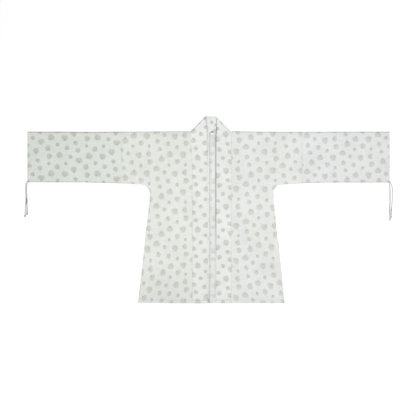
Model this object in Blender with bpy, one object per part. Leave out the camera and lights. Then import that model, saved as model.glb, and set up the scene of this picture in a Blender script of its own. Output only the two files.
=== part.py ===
"""Hanfu jacket with an open front, laid flat with its front side up.

Garment coordinates: x = 0 at the middle of the neck, y = 0 at the shoulder fold, the hem towards -y,
z = 0 on the surface that the jacket lies on. The wearer's right is at -x. One empty carries every
piece, and puts the origin under the middle of the jacket's box.
"""

import math
from collections import namedtuple

import bpy
import bmesh
import numpy as np
from mathutils import Vector
from mathutils.geometry import delaunay_2d_cdt

# Cloth and clearances, metres
CLOTH = 0.0010          # wall of one layer
GAP = 0.0003            # between two layers, and between two pieces at a seam
POINT_SPACING = 0.040   # between the points of a panel
GRID_CLEAR = 0.018      # no grid point nearer than this to a panel's outline
ARC_STEP = 0.30         # radians between the points of a rounded corner

# Heights of the two layers, worked out from the cloth
BACK_MID = CLOTH / 2                          # middle of the back layer
FRONT_MID = CLOTH + GAP + CLOTH / 2           # middle of the front layer
FOLD_MID = (BACK_MID + FRONT_MID) / 2         # height of a fold's axis
FOLD_OUTER = (FRONT_MID - BACK_MID + CLOTH) / 2   # outside of the wall round a fold
FOLD_STEPS = 4                                # facets round a fold

# Cut of the jacket
REACH = {"right": 0.917, "left": 0.883}       # middle of the neck to the cuff, as laid
SLEEVE_SEAM = 0.449                           # middle of the neck to the seam of the sleeve
SLEEVE_DEPTH = {"cuff": 0.254, "seam": 0.260}
BODY_LENGTH = 0.854                           # shoulder fold to hem
CENTRE_BACK = -0.012                          # x of the centre-back seam, laid off the middle
CASING = 0.015                                # width of the turned-in cuff that holds the drawstring
CASING_RISE = 0.0006                          # how far the casing stands above the sleeve

# Collar band
BAND_WIDTH = 0.076
BAND_SEAM = 0.097                             # middle of the neck to the seam of each front band
NECK_DROP = 0.004                             # back neck seam below the shoulder fold
SHOULDER_END = 0.0978                         # where the body's shoulder fold stops beside the band
SHOULDER_SLANT = 0.012                        # height over which the front edge runs in to the band seam
BAND_FAN = 0.060                              # length over which the band's rings turn square again
BAND_DROP_START = 0.008                       # below the shoulder: the band starts to come down
BAND_DROP_LENGTH = 0.070                      # and lies on the back panel after this length
BAND_SETTLE = 0.045                           # from its free edge, over which it takes up the swells
NECK_RINGS = 4
FAN_RINGS = 5
BAND_COLUMNS = 4                              # points across the band's width

# The collar as laid: the fold on the wearer's right lies further out and takes the cloth beside it along
DRAWN_OUT = 0.0108                            # at the fold
DRAWN_FREE = 0.026                            # length down the free edge over which that dies away
DRAWN_SEAM = 0.090                            # and down the seam
DRAWN_SIDE = 0.100                            # and out along the shoulder
COLLAR_RISE = 0.0022                          # how far the collar's top is eased up

# Neck label
LABEL_MIDDLE_X = 0.0013
LABEL_WIDTH = 0.012
LABEL_TOP = 0.0002                            # above the shoulder fold
LABEL_BOTTOM = -0.018
LABEL_ROWS = 8

# Drawstring
TIE_DIAMETER = 0.004
TIE_CLEARANCE = 0.0001                        # under the tie
TIE_SPACING = 0.009                           # between the points of the tube
TIE_READINGS = 12                             # readings of the curve between two points of a route

Corner = namedtuple("Corner", "across down radius")
UNDERARM_AND_SIDE = {
    "right": (
        Corner(across=SLEEVE_SEAM, down=SLEEVE_DEPTH["seam"], radius=0),
        Corner(across=0.3105, down=0.268, radius=0.045),
        Corner(across=0.3105, down=0.350, radius=0.300),
        Corner(across=0.3690, down=BODY_LENGTH, radius=0),
    ),
    "left": (
        Corner(across=SLEEVE_SEAM, down=SLEEVE_DEPTH["seam"], radius=0),
        Corner(across=0.3290, down=0.267, radius=0.020),
        Corner(across=0.3045, down=0.292, radius=0.020),
        Corner(across=0.3045, down=0.352, radius=0.300),
        Corner(across=0.3630, down=BODY_LENGTH, radius=0),
    ),
}

# Soft swells where the front layer lies a little clear of the back one
Swell = namedtuple("Swell", "x y length width turn height")
SWELLS = (
    Swell(x=-0.720, y=-0.095, length=0.190, width=0.040, turn=4, height=0.0013),
    Swell(x=-0.610, y=-0.185, length=0.150, width=0.032, turn=-7, height=0.0010),
    Swell(x=-0.395, y=-0.150, length=0.130, width=0.036, turn=-36, height=0.0014),
    Swell(x=-0.235, y=-0.120, length=0.120, width=0.040, turn=-64, height=0.0010),
    Swell(x=-0.205, y=-0.430, length=0.200, width=0.042, turn=84, height=0.0012),
    Swell(x=-0.285, y=-0.690, length=0.170, width=0.036, turn=80, height=0.0014),
    Swell(x=-0.170, y=-0.750, length=0.120, width=0.034, turn=93, height=0.0011),
    Swell(x=0.700, y=-0.140, length=0.210, width=0.044, turn=-3, height=0.0014),
    Swell(x=0.545, y=-0.075, length=0.120, width=0.030, turn=8, height=0.0009),
    Swell(x=0.385, y=-0.165, length=0.120, width=0.034, turn=40, height=0.0013),
    Swell(x=0.215, y=-0.190, length=0.140, width=0.042, turn=70, height=0.0011),
    Swell(x=0.245, y=-0.520, length=0.210, width=0.040, turn=97, height=0.0014),
    Swell(x=0.160, y=-0.700, length=0.150, width=0.036, turn=88, height=0.0010),
    Swell(x=0.300, y=-0.790, length=0.090, width=0.032, turn=101, height=0.0012),
)
LOFT = 0.0008              # clear height between the layers away from the folds
LOFT_EDGE = 0.050          # over this distance from a fold it rises from nothing

# Free ends of the drawstring, from the cuff down, as the middle of each end
TIE_ROUTES = {
    "right_cuff_tie_front": (
        (-0.9185, -0.2495), (-0.9213, -0.2528), (-0.9233, -0.2557), (-0.9248, -0.2592),
        (-0.9258, -0.2640), (-0.9264, -0.2710), (-0.9266, -0.2800), (-0.9265, -0.2900),
        (-0.9261, -0.3020), (-0.9255, -0.3180), (-0.9249, -0.3330), (-0.9246, -0.3470),
        (-0.9252, -0.3610), (-0.9266, -0.3760), (-0.9279, -0.3910), (-0.9287, -0.4060),
        (-0.9293, -0.4180), (-0.9298, -0.4290),
    ),
    "right_cuff_tie_back": (
        (-0.9157, -0.2547), (-0.9180, -0.2592), (-0.9196, -0.2627), (-0.9208, -0.2668),
        (-0.9215, -0.2720), (-0.9219, -0.2790), (-0.9220, -0.2880), (-0.9216, -0.3020),
        (-0.9210, -0.3180), (-0.9204, -0.3330), (-0.9201, -0.3470), (-0.9198, -0.3610),
        (-0.9194, -0.3750), (-0.9192, -0.3890), (-0.9193, -0.4030), (-0.9196, -0.4130),
        (-0.9199, -0.4195),
    ),
    "left_cuff_tie_front": (
        (0.8846, -0.2519), (0.8880, -0.2561), (0.8905, -0.2601), (0.8932, -0.2660),
        (0.8956, -0.2730), (0.8975, -0.2810), (0.8987, -0.2890), (0.8994, -0.2960),
        (0.8994, -0.3120), (0.8990, -0.3280), (0.8974, -0.3440), (0.8961, -0.3600),
        (0.8946, -0.3760), (0.8936, -0.3920), (0.8930, -0.4080), (0.8926, -0.4220),
        (0.8922, -0.4330),
    ),
    "left_cuff_tie_back": (
        (0.8804, -0.2545), (0.8820, -0.2600), (0.8842, -0.2690), (0.8857, -0.2790),
        (0.8864, -0.2930), (0.8866, -0.3080), (0.8866, -0.3230), (0.8864, -0.3380),
        (0.8861, -0.3530), (0.8859, -0.3680), (0.8858, -0.3840), (0.8858, -0.4000),
        (0.8860, -0.4150), (0.8864, -0.4290), (0.8867, -0.4400), (0.8868, -0.4460),
    ),
}

# The jacket's middle, so that the origin lies under the middle of its box
BAND_TOP = BAND_WIDTH - NECK_DROP
MIDDLE_X = (REACH["left"] - REACH["right"]) / 2
MIDDLE_Y = (BAND_TOP + COLLAR_RISE - BODY_LENGTH) / 2

FINISHES = {
    "printed_cloth": {"colour": (0.745, 0.770, 0.715, 1.0), "roughness": 0.85},
    "band_cloth": {"colour": (0.800, 0.820, 0.775, 1.0), "roughness": 0.85},
    "tie_cloth": {"colour": (0.680, 0.700, 0.670, 1.0), "roughness": 0.88},
    "label_cloth": {"colour": (0.060, 0.065, 0.080, 1.0), "roughness": 0.80},
}


def clear_scene():
    """Remove every object, so that the file holds only the jacket."""
    for item in list(bpy.data.objects):
        bpy.data.objects.remove(item, do_unlink=True)


def make_finish(name):
    """A plain material with the piece's colour and roughness."""
    settings = FINISHES[name]
    material = bpy.data.materials.new(name)
    material.use_nodes = True
    shader = material.node_tree.nodes["Principled BSDF"]
    shader.inputs["Base Color"].default_value = settings["colour"]
    shader.inputs["Roughness"].default_value = settings["roughness"]
    shader.inputs["Metallic"].default_value = 0.0
    return material


def smooth_step(value):
    """0 below 0, 1 above 1, with a soft start and end."""
    value = np.clip(value, 0.0, 1.0)
    return value * value * (3 - 2 * value)


def divide(points, spacing):
    """Points along straight stretches, none further apart than the spacing."""
    result = [points[0]]
    for start, end in zip(points[:-1], points[1:]):
        start, end = np.array(start), np.array(end)
        parts = max(1, math.ceil(np.linalg.norm(end - start) / spacing))
        for part in range(1, parts + 1):
            result.append(tuple(start + (end - start) * part / parts))
    return result


def rounded(corners):
    """An open outline through the corners, each turned with its own radius."""
    result = []
    for index, corner in enumerate(corners):
        here = np.array((corner.across, corner.down))
        if corner.radius == 0:
            result.append(tuple(here))
            continue
        before = np.array(corners[index - 1][:2]) - here
        after = np.array(corners[index + 1][:2]) - here
        before, after = before / np.linalg.norm(before), after / np.linalg.norm(after)
        half = math.acos(np.clip(before @ after, -1, 1)) / 2
        middle_way = (before + after) / np.linalg.norm(before + after)
        centre = here + middle_way * corner.radius / math.sin(half)
        reach = corner.radius / math.tan(half)
        first, last = here + before * reach - centre, here + after * reach - centre
        turn = math.pi - 2 * half
        steps = max(2, math.ceil(turn / ARC_STEP))
        for step in range(steps + 1):
            share = step / steps
            radial = (math.sin((1 - share) * turn) * first + math.sin(share * turn) * last) / math.sin(turn)
            result.append(tuple(centre + radial))
    return result


def side_line(side):
    """The underarm and side fold of one half, as garment x and y."""
    sign = -1 if side == "right" else 1
    line = divide(rounded(UNDERARM_AND_SIDE[side]), POINT_SPACING)
    return [(sign * across, -down) for across, down in line]


def distance_to_line(x, y, line):
    """Shortest distance from each point to a chain of straight stretches."""
    points = np.stack([x, y], axis=-1)
    nearest = np.full(x.shape, np.inf)
    for start, end in zip(line[:-1], line[1:]):
        start, end = np.array(start), np.array(end)
        run = end - start
        share = np.clip((points - start) @ run / (run @ run), 0, 1)
        foot = start + share[..., None] * run
        nearest = np.minimum(nearest, np.linalg.norm(points - foot, axis=-1))
    return nearest


def sleeve_under_line(side):
    """The underarm fold of one sleeve extension, from its seam to the cuff."""
    sign = -1 if side == "right" else 1
    return [
        (sign * SLEEVE_SEAM, -SLEEVE_DEPTH["seam"]),
        (sign * REACH[side], -SLEEVE_DEPTH["cuff"]),
    ]


CLOSED_LINES = [sleeve_under_line(side)[::-1] + side_line(side)[1:] for side in ("right", "left")]


def swell_height(x, y):
    """How far the front layer is raised: a loft and the swells, both nothing at the folds."""
    x, y = np.asarray(x, float), np.asarray(y, float)
    edge = -y
    for line in CLOSED_LINES:
        edge = np.minimum(edge, distance_to_line(x, y, line))
    height = np.full(x.shape, LOFT)
    for swell in SWELLS:
        turn = math.radians(swell.turn)
        along = (x - swell.x) * math.cos(turn) + (y - swell.y) * math.sin(turn)
        aside = (y - swell.y) * math.cos(turn) - (x - swell.x) * math.sin(turn)
        height += swell.height * np.exp(-((along / swell.length) ** 2) - (aside / swell.width) ** 2)
    return height * smooth_step(edge / LOFT_EDGE)


def drawn_out(points):
    """Where points lie once the collar's right fold is drawn out and its top is eased up."""
    x, y, z = np.asarray(points, float).T
    free, top = BAND_SEAM - BAND_WIDTH, BAND_WIDTH - NECK_DROP
    share = np.clip((-x - free) / BAND_WIDTH, 0, 1)
    below = np.maximum(top - share * BAND_WIDTH - y, 0)
    length = DRAWN_FREE + (DRAWN_SEAM - DRAWN_FREE) * share
    beside = smooth_step(-x / free) * smooth_step(1 + (x + BAND_SEAM) / DRAWN_SIDE)
    out = DRAWN_OUT * beside * np.exp(-below / length)
    return np.stack([x - out, y + COLLAR_RISE * np.clip(y / top, 0, 1), z], axis=1)


def wall_object(name, outer, inner, faces, finish, parent):
    """One closed cloth wall: an outer and an inner skin, joined round every open edge."""
    outer, inner = drawn_out(outer), drawn_out(inner)
    count = len(outer)
    outward = outer - inner
    for face in faces:
        first, second, third = (outer[corner] for corner in face[:3])
        if np.cross(second - first, third - second) @ outward[face].sum(axis=0) < 0:
            face.reverse()
    edge_use = {}
    for face in faces:
        for start, end in zip(face, face[1:] + face[:1]):
            edge_use.setdefault(frozenset((start, end)), []).append((start, end))
    rims = [use[0] for use in edge_use.values() if len(use) == 1]
    all_faces = [tuple(face) for face in faces]
    all_faces += [tuple(index + count for index in reversed(face)) for face in faces]
    all_faces += [(end, start, start + count, end + count) for start, end in rims]
    mesh = bpy.data.meshes.new(name)
    mesh.from_pydata([tuple(point) for point in np.vstack([outer, inner])], [], all_faces)
    solid = bmesh.new()
    solid.from_mesh(mesh)
    bmesh.ops.triangulate(solid, faces=solid.faces)
    solid.to_mesh(mesh)
    solid.free()
    mesh.materials.append(finish)
    piece = bpy.data.objects.new(name, mesh)
    bpy.context.collection.objects.link(piece)
    piece.parent = parent
    return piece


def outward_normals(line, sign):
    """Normals of a fold line, mitred at its points and away from the cloth.

    Outlines run clockwise on the wearer's right, where sign is -1, and the other way on the left.
    """
    runs = np.diff(np.array(line), axis=0)
    normals = np.stack([runs[:, 1], -runs[:, 0]], axis=1) * -sign
    normals /= np.linalg.norm(normals, axis=1)[:, None]
    first, last = np.vstack([normals[:1], normals]), np.vstack([normals, normals[-1:]])
    joined = first + last
    return joined / ((joined ** 2).sum(axis=1) / 2)[:, None]


def fill_outline(outline):
    """Triangles over an outline, with a grid of points inside it. The outline's points come first."""
    outline = np.array(outline)
    low, high = outline.min(axis=0), outline.max(axis=0)
    columns = max(1, round((high[0] - low[0]) / POINT_SPACING))
    rows = max(1, round((high[1] - low[1]) / POINT_SPACING))
    across = np.linspace(low[0], high[0], columns + 1)
    down = np.linspace(low[1], high[1], rows + 1)
    x, y = (grid.ravel() for grid in np.meshgrid(across, down))
    inside = np.zeros(x.shape, bool)
    for (x0, y0), (x1, y1) in zip(outline, np.roll(outline, -1, axis=0)):
        if y0 == y1:
            continue
        crosses = ((y0 > y) != (y1 > y)) & (x < (x1 - x0) * (y - y0) / (y1 - y0) + x0)
        inside ^= crosses
    clear = distance_to_line(x, y, list(outline) + [outline[0]]) > GRID_CLEAR
    grid = np.stack([x, y], axis=1)[inside & clear]
    points = [Vector(point) for point in np.vstack([outline, grid])]
    count = len(outline)
    edges = [(index, (index + 1) % count) for index in range(count)]
    places, _, faces, sources, _, _ = delaunay_2d_cdt(points, edges, [], 1, 1e-7)
    order = {place: source[0] for place, source in enumerate(sources)}
    faces = [[order[corner] for corner in face] for face in faces]
    return np.array([tuple(point) for point in points]), faces


def folded_panel(name, sign, runs, finish, parent, extra=None):
    """A panel of two layers, joined at its folds and open along its other edges.

    runs: the outline in order, as (kind, front points, back points). A fold has the same points on
    both layers. extra gives what is added to the outer side of the front layer.
    """
    layers = {}
    for layer in ("front", "back"):
        outline, folds = [], []
        for kind, front, back in runs:
            line = front if layer == "front" else back
            if kind == "fold":
                folds.append((len(outline), len(line)))
            outline += list(line)
        layers[layer] = (*fill_outline(outline), folds)

    outer, inner, faces = [], [], []
    starts = {}
    for layer, side, middle in (("back", -1, BACK_MID), ("front", 1, FRONT_MID)):
        points, triangles, _ = layers[layer]
        starts[layer] = len(outer)
        raised = swell_height(*points.T) if layer == "front" else np.zeros(len(points))
        added = extra(points) if layer == "front" and extra else np.zeros(len(points))
        for (x, y), rise, more in zip(points, raised, added):
            height = middle + rise
            outer.append((x, y, height + side * (CLOTH / 2 + more)))
            inner.append((x, y, height - side * CLOTH / 2))
        faces += [[starts[layer] + corner for corner in face] for face in triangles]

    for (front_start, length), (back_start, _) in zip(layers["front"][2], layers["back"][2]):
        line = layers["front"][0][front_start:front_start + length]
        normals = outward_normals(line, sign)
        rings = [[starts["back"] + back_start + place for place in range(length)]]
        for step in range(1, FOLD_STEPS):
            angle = math.pi * (step / FOLD_STEPS - 0.5)
            rings.append(list(range(len(outer), len(outer) + length)))
            for (x, y), (normal_x, normal_y) in zip(line, normals):
                for skin, radius in ((outer, FOLD_OUTER), (inner, FOLD_OUTER - CLOTH)):
                    out = radius * math.cos(angle)
                    skin.append((x + normal_x * out, y + normal_y * out, FOLD_MID + radius * math.sin(angle)))
        rings.append([starts["front"] + front_start + place for place in range(length)])
        for low, high in zip(rings[:-1], rings[1:]):
            for place in range(length - 1):
                faces.append([low[place], low[place + 1], high[place + 1], high[place]])
    return wall_object(name, np.array(outer), np.array(inner), faces, finish, parent)


def inset(line, sign):
    """A fold's flat edge: the outline moved in by the fold's own outer radius."""
    return [tuple(point) for point in np.array(line) - outward_normals(line, sign) * FOLD_OUTER]


def make_body(side, finish, parent):
    """One half of the body: front and back in one, folded at the shoulder, closed at the side."""
    sign = -1 if side == "right" else 1
    seam = SLEEVE_SEAM - GAP / 2
    side_edge = side_line(side)
    side_edge[0] = (sign * seam, side_edge[0][1])
    side_edge = inset(side_edge, sign)
    shoulder = inset(divide([(sign * SHOULDER_END, 0), (sign * seam, 0)], POINT_SPACING), sign)
    sleeve_end = divide([shoulder[-1], side_edge[0]], POINT_SPACING)[1:-1]

    front_edge = sign * (BAND_SEAM + GAP / 2)
    centre_edge = CENTRE_BACK + sign * GAP / 2
    slant = (front_edge, -SHOULDER_SLANT)
    front_rest = divide([side_edge[-1], (front_edge, -BODY_LENGTH), slant], POINT_SPACING)[1:]
    neck = -NECK_DROP - GAP / 2
    back_rest = [side_edge[-1], (centre_edge, -BODY_LENGTH), (centre_edge, neck), (sign * SHOULDER_END, neck)]
    back_rest = divide(back_rest, POINT_SPACING)[1:]
    runs = [
        ("fold", shoulder, shoulder),
        ("open", sleeve_end, sleeve_end),
        ("fold", side_edge, side_edge),
        ("open", front_rest, back_rest),
    ]
    return folded_panel(f"{side}_body", sign, runs, finish, parent)


def make_sleeve(side, finish, parent):
    """One sleeve extension: a flat tube, folded above and below, with a casing at the cuff."""
    sign = -1 if side == "right" else 1
    start, cuff = SLEEVE_SEAM + GAP / 2, REACH[side]
    casing = cuff - CASING
    slope = (SLEEVE_DEPTH["cuff"] - SLEEVE_DEPTH["seam"]) / (cuff - start)
    stations = [x for x, _ in divide([(start, 0), (casing, 0)], POINT_SPACING)]
    stations += [casing + CASING_RISE, cuff]
    above = inset([(sign * x, 0) for x in stations], sign)
    below = [(sign * x, -(SLEEVE_DEPTH["seam"] + slope * (x - start))) for x in stations]
    below = inset(below[::-1], sign)
    cuff_edge = divide([above[-1], below[0]], POINT_SPACING)[1:-1]
    seam_edge = divide([below[-1], above[0]], POINT_SPACING)[1:-1]
    runs = [
        ("fold", above, above),
        ("open", cuff_edge, cuff_edge),
        ("fold", below, below),
        ("open", seam_edge, seam_edge),
    ]

    def casing_rise(points):
        return np.where(np.abs(points[:, 0]) > casing + CASING_RISE / 2, CASING_RISE, 0.0)

    return folded_panel(f"{side}_sleeve", sign, runs, finish, parent, casing_rise)


def band_section():
    """Outer and inner skin of the band folded lengthwise, as (distance from the seam, height)."""
    flat_end = BAND_WIDTH - FOLD_OUTER
    across = np.linspace(GAP / 2, flat_end, BAND_COLUMNS)
    skins = []
    for radius in (FOLD_OUTER, FOLD_OUTER - CLOTH):
        skin = [(place, -radius) for place in across]
        for step in range(1, FOLD_STEPS):
            angle = math.pi * (step / FOLD_STEPS - 0.5)
            skin.append((flat_end + radius * math.cos(angle), radius * math.sin(angle)))
        skin += [(place, radius) for place in across[::-1]]
        skins.append(np.array(skin))
    return skins


def band_stations():
    """Rings along half of the band, as (distance along the seam edge, along the free edge).

    They are square to the strip at the middle of the neck, turn until they lie along the fold at the
    shoulder, go round it, and turn square again on the front.
    """
    turn_radius = FOLD_OUTER + GAP / 2
    wrap = math.pi * turn_radius
    fold_seam = BAND_SEAM - wrap / math.sqrt(2)
    fold_free = fold_seam - BAND_WIDTH
    rings = [(fold_seam * share, fold_free * share) for share in np.linspace(0, 1, NECK_RINGS + 1)]
    for share in np.linspace(0, 1, FOLD_STEPS + 1)[1:]:
        shift = share * wrap * math.sqrt(2)
        rings.append((fold_seam + shift, fold_free + shift))
    last_seam, last_free = rings[-1]
    square = last_seam + BAND_FAN
    for share in np.linspace(0, 1, FAN_RINGS + 1)[1:]:
        rings.append((last_seam + (square - last_seam) * share, last_free + (square - last_free) * share))
    end = BODY_LENGTH - NECK_DROP + BAND_SEAM
    steps = math.ceil((end - square) / POINT_SPACING)
    for share in np.linspace(0, 1, steps + 1)[1:]:
        distance = square + (end - square) * share
        rings.append((distance, distance))
    return rings, turn_radius, wrap, fold_seam


def place_on_band(sign, along, across, height, turn_radius, wrap, fold_seam):
    """Where a point of the flat strip lies once the strip is folded at one shoulder.

    The strip runs sideways from the middle of the neck, to -x where sign is -1, and is folded forward
    over a line at 45 degrees.
    """
    past = (along - fold_seam + across) / math.sqrt(2)
    beside = (fold_seam - along + across) / math.sqrt(2)
    angle = np.clip(past / turn_radius, 0, math.pi)
    out = (turn_radius - height) * np.sin(angle)
    out = np.where(past < 0, past, np.where(past > wrap, wrap - past, out))
    level = FOLD_MID + turn_radius - (turn_radius - height) * np.cos(angle)
    x = sign * (fold_seam - (beside - out) / math.sqrt(2))
    y = -NECK_DROP + (beside + out) / math.sqrt(2)
    down = smooth_step((-y - BAND_DROP_START) / BAND_DROP_LENGTH)
    from_free = (np.abs(x) - (BAND_SEAM - BAND_WIDTH)) / BAND_SETTLE
    on_front = past > wrap
    level = level - on_front * down * (CLOTH + GAP)
    level = level + on_front * swell_height(x, y) * smooth_step(from_free)
    return np.stack([x, y, level], axis=-1)


def make_collar_band(finish, parent):
    """The long strip from hem to neck to hem, folded lengthwise and over at each shoulder."""
    rings, turn_radius, wrap, fold_seam = band_stations()
    skins = []
    for section in band_section():
        across, height = section[:, 0], section[:, 1]
        halves = []
        for sign in (-1, 1):
            rows = []
            for seam_along, free_along in rings:
                along = seam_along + (free_along - seam_along) * across / BAND_WIDTH
                rows.append(place_on_band(sign, along, across, height, turn_radius, wrap, fold_seam))
            halves.append(rows)
        skins.append(np.array(halves[0][::-1] + halves[1][1:]).reshape(-1, 3))
    columns = len(band_section()[0])
    faces = []
    for ring in range(2 * len(rings) - 2):
        for column in range(columns - 1):
            start = ring * columns + column
            faces.append([start, start + 1, start + columns + 1, start + columns])
    return wall_object("collar_band", skins[0], skins[1], faces, finish, parent)


def make_neck_label(finish, parent):
    """A small tape across the back neck seam: on the band above it, on the back panel below."""
    on_band = 2 * FOLD_MID + GAP
    on_back = CLOTH + GAP
    left, right = LABEL_MIDDLE_X - LABEL_WIDTH / 2, LABEL_MIDDLE_X + LABEL_WIDTH / 2
    lower, upper = [], []
    for y in np.linspace(LABEL_TOP, LABEL_BOTTOM, LABEL_ROWS):
        share = smooth_step((-NECK_DROP - y) / (-NECK_DROP - LABEL_BOTTOM))
        level = on_band + (on_back - on_band) * share
        for x in (left, right):
            lower.append((x, y, level))
            upper.append((x, y, level + CLOTH))
    faces = [[2 * row, 2 * row + 1, 2 * row + 3, 2 * row + 2] for row in range(LABEL_ROWS - 1)]
    return wall_object("neck_label", np.array(upper), np.array(lower), faces, finish, parent)


def smooth_route(points, spacing):
    """Points at even steps on a curve that passes through the route's own points."""
    points = np.array(points)
    padded = np.vstack([2 * points[0] - points[1], points, 2 * points[-1] - points[-2]])
    share = np.linspace(0, 1, TIE_READINGS, endpoint=False)[:, None]
    fine = []
    for a, b, c, d in zip(padded[:-3], padded[1:-2], padded[2:-1], padded[3:]):
        fine.append(0.5 * (2 * b + (c - a) * share + (2 * a - 5 * b + 4 * c - d) * share ** 2
                           + (3 * b - a - 3 * c + d) * share ** 3))
    fine = np.vstack(fine + [points[-1:]])
    lengths = np.concatenate([[0], np.cumsum(np.linalg.norm(np.diff(fine, axis=0), axis=1))])
    even = np.linspace(0, lengths[-1], math.ceil(lengths[-1] / spacing) + 1)
    return np.stack([np.interp(even, lengths, fine[:, axis]) for axis in range(fine.shape[1])], axis=1)


def make_tie(name, finish, parent):
    """One free end of a cuff's drawstring, as a round tube on the surface."""
    route = smooth_route(TIE_ROUTES[name], TIE_SPACING)
    curve = bpy.data.curves.new(name, "CURVE")
    curve.dimensions = "3D"
    curve.bevel_depth = TIE_DIAMETER / 2
    curve.bevel_resolution = 2
    curve.render_resolution_u = 0
    curve.use_fill_caps = True
    line = curve.splines.new("POLY")
    line.points.add(len(route) - 1)
    for place, (x, y) in zip(line.points, route):
        place.co = (x, y, TIE_DIAMETER / 2 + TIE_CLEARANCE, 1)
    curve.materials.append(finish)
    piece = bpy.data.objects.new(name, curve)
    bpy.context.collection.objects.link(piece)
    piece.parent = parent
    return piece


def make_jacket():
    """Every piece of the jacket, carried by one empty."""
    clear_scene()
    finishes = {name: make_finish(name) for name in FINISHES}
    carrier = bpy.data.objects.new("jacket", None)
    carrier.location = (-MIDDLE_X, -MIDDLE_Y, 0)
    bpy.context.collection.objects.link(carrier)
    for side in ("right", "left"):
        make_body(side, finishes["printed_cloth"], carrier)
        make_sleeve(side, finishes["printed_cloth"], carrier)
    make_collar_band(finishes["band_cloth"], carrier)
    make_neck_label(finishes["label_cloth"], carrier)
    for name in TIE_ROUTES:
        make_tie(name, finishes["tie_cloth"], carrier)


make_jacket()
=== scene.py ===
import math
import bpy
import bmesh
import numpy as np
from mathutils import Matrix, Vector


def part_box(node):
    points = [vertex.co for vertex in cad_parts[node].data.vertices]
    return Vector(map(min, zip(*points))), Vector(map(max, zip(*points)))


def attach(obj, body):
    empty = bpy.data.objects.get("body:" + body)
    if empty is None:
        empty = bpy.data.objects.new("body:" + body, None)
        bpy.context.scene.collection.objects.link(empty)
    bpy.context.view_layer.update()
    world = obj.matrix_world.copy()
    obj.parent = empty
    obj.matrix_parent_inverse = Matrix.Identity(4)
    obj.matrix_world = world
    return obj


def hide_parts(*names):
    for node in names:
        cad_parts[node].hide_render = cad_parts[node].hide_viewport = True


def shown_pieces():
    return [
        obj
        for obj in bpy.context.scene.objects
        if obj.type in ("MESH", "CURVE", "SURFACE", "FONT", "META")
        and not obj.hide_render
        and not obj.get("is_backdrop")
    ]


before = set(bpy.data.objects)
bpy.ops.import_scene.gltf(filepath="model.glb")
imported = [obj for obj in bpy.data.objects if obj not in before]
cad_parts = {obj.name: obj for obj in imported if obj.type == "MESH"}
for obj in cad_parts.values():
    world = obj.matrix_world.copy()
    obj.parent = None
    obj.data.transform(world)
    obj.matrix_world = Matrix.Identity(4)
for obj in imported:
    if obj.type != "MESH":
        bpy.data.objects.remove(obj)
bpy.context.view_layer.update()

# A hanfu jacket laid flat, front side up. Pieces are worked out in garment metres: x from the middle of
# the neck towards the wearer's left cuff, y up from the shoulder fold, z up from the surface it lies on.

# Cut of the jacket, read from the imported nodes. The band's and the right half's solids end a little off
# the band's seam and the centre-back seam.
sides = {"right": -1, "left": 1}   # the wearer's sides, and the way each lies along x
sleeveBox = {side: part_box(side + "_sleeve") for side in sides}
bodyBox = {side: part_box(side + "_body") for side in sides}
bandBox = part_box("collar_band")
solidOff = {"band": 0.00035, "centreBack": 0.00015}
neckX = (sleeveBox["right"][1].x + sleeveBox["left"][0].x) / 2
shoulderY = sleeveBox["right"][1].y
cut = {
    "sleeveSeam": (sleeveBox["left"][0].x - sleeveBox["right"][1].x) / 2,   # neck to the sleeve seam
    "cuff": {"right": neckX - sleeveBox["right"][0].x, "left": sleeveBox["left"][1].x - neckX},
    "length": shoulderY - bodyBox["right"][0].y,                            # shoulder fold to hem
    "bandSeam": bandBox[1].x - neckX - solidOff["band"],                    # neck to the band's seam
    "bandWidth": 0.076,
    "centreBack": bodyBox["right"][1].x - neckX + solidOff["centreBack"],   # x of the centre-back seam
    "collarTop": 0.072,                                                     # above the shoulder fold
    "sleeveDepthCuff": 0.254,
    "sleeveDepthSeam": 0.26,
    "casing": 0.015,
    "underarm": {      # across, down and radius of each corner, from the sleeve seam to the hem
        "right": [(0.449, 0.26, 0), (0.3105, 0.268, 0.045), (0.3105, 0.35, 0.3), (0.369, 0.854, 0)],
        "left": [(0.449, 0.26, 0), (0.329, 0.267, 0.02), (0.3045, 0.292, 0.02),
                 (0.3045, 0.352, 0.3), (0.363, 0.854, 0)],
    },
}

# How the layers lie on each other
layers = {
    "wall": 0.0005,         # thickness that the cloth is drawn with
    "frontTop": 0.0023,     # outside of the front layer where it lies closest
    "foldRadius": 0.00115,  # outside of a fold
    "foldSteps": 6,
    "weld": 0.00002,        # points nearer than this are one point
    "seamGap": 0.0003,      # between two pieces at a seam
    "reliefFade": 0.004,    # distance from a fold over which sewn relief dies away
    "crispAngle": 50,       # an edge that turns by more degrees is crisp
}
foldTurn = np.linspace(-math.pi / 2, math.pi / 2, 2 * layers["foldSteps"] + 1)   # angles round a fold


def smoothStep(value):   # 0 below 0, 1 above 1, with a soft start and end
    value = np.clip(value, 0.0, 1.0)
    return value * value * (3 - 2 * value)


def softBump(distance, width):   # 1 in the middle, falling to 0 like a bell over the width
    return np.exp(-(distance / width) ** 2)


def tableAt(place, rows):   # a value read between the rows of a table of places and values
    return np.interp(place, *np.transpose(rows))


def stepLengths(path):   # from each corner of a chain to the next
    return np.linalg.norm(np.diff(path, axis=0), axis=1)


def pathAt(path, share):
    # points at shares of a chain's length: the lengths are summed and read between its corners
    lengths = np.concatenate([[0], np.cumsum(stepLengths(path))])
    here = share * lengths[-1]
    return np.stack([np.interp(here, lengths, path[:, axis]) for axis in range(path.shape[1])], axis=1)


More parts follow.
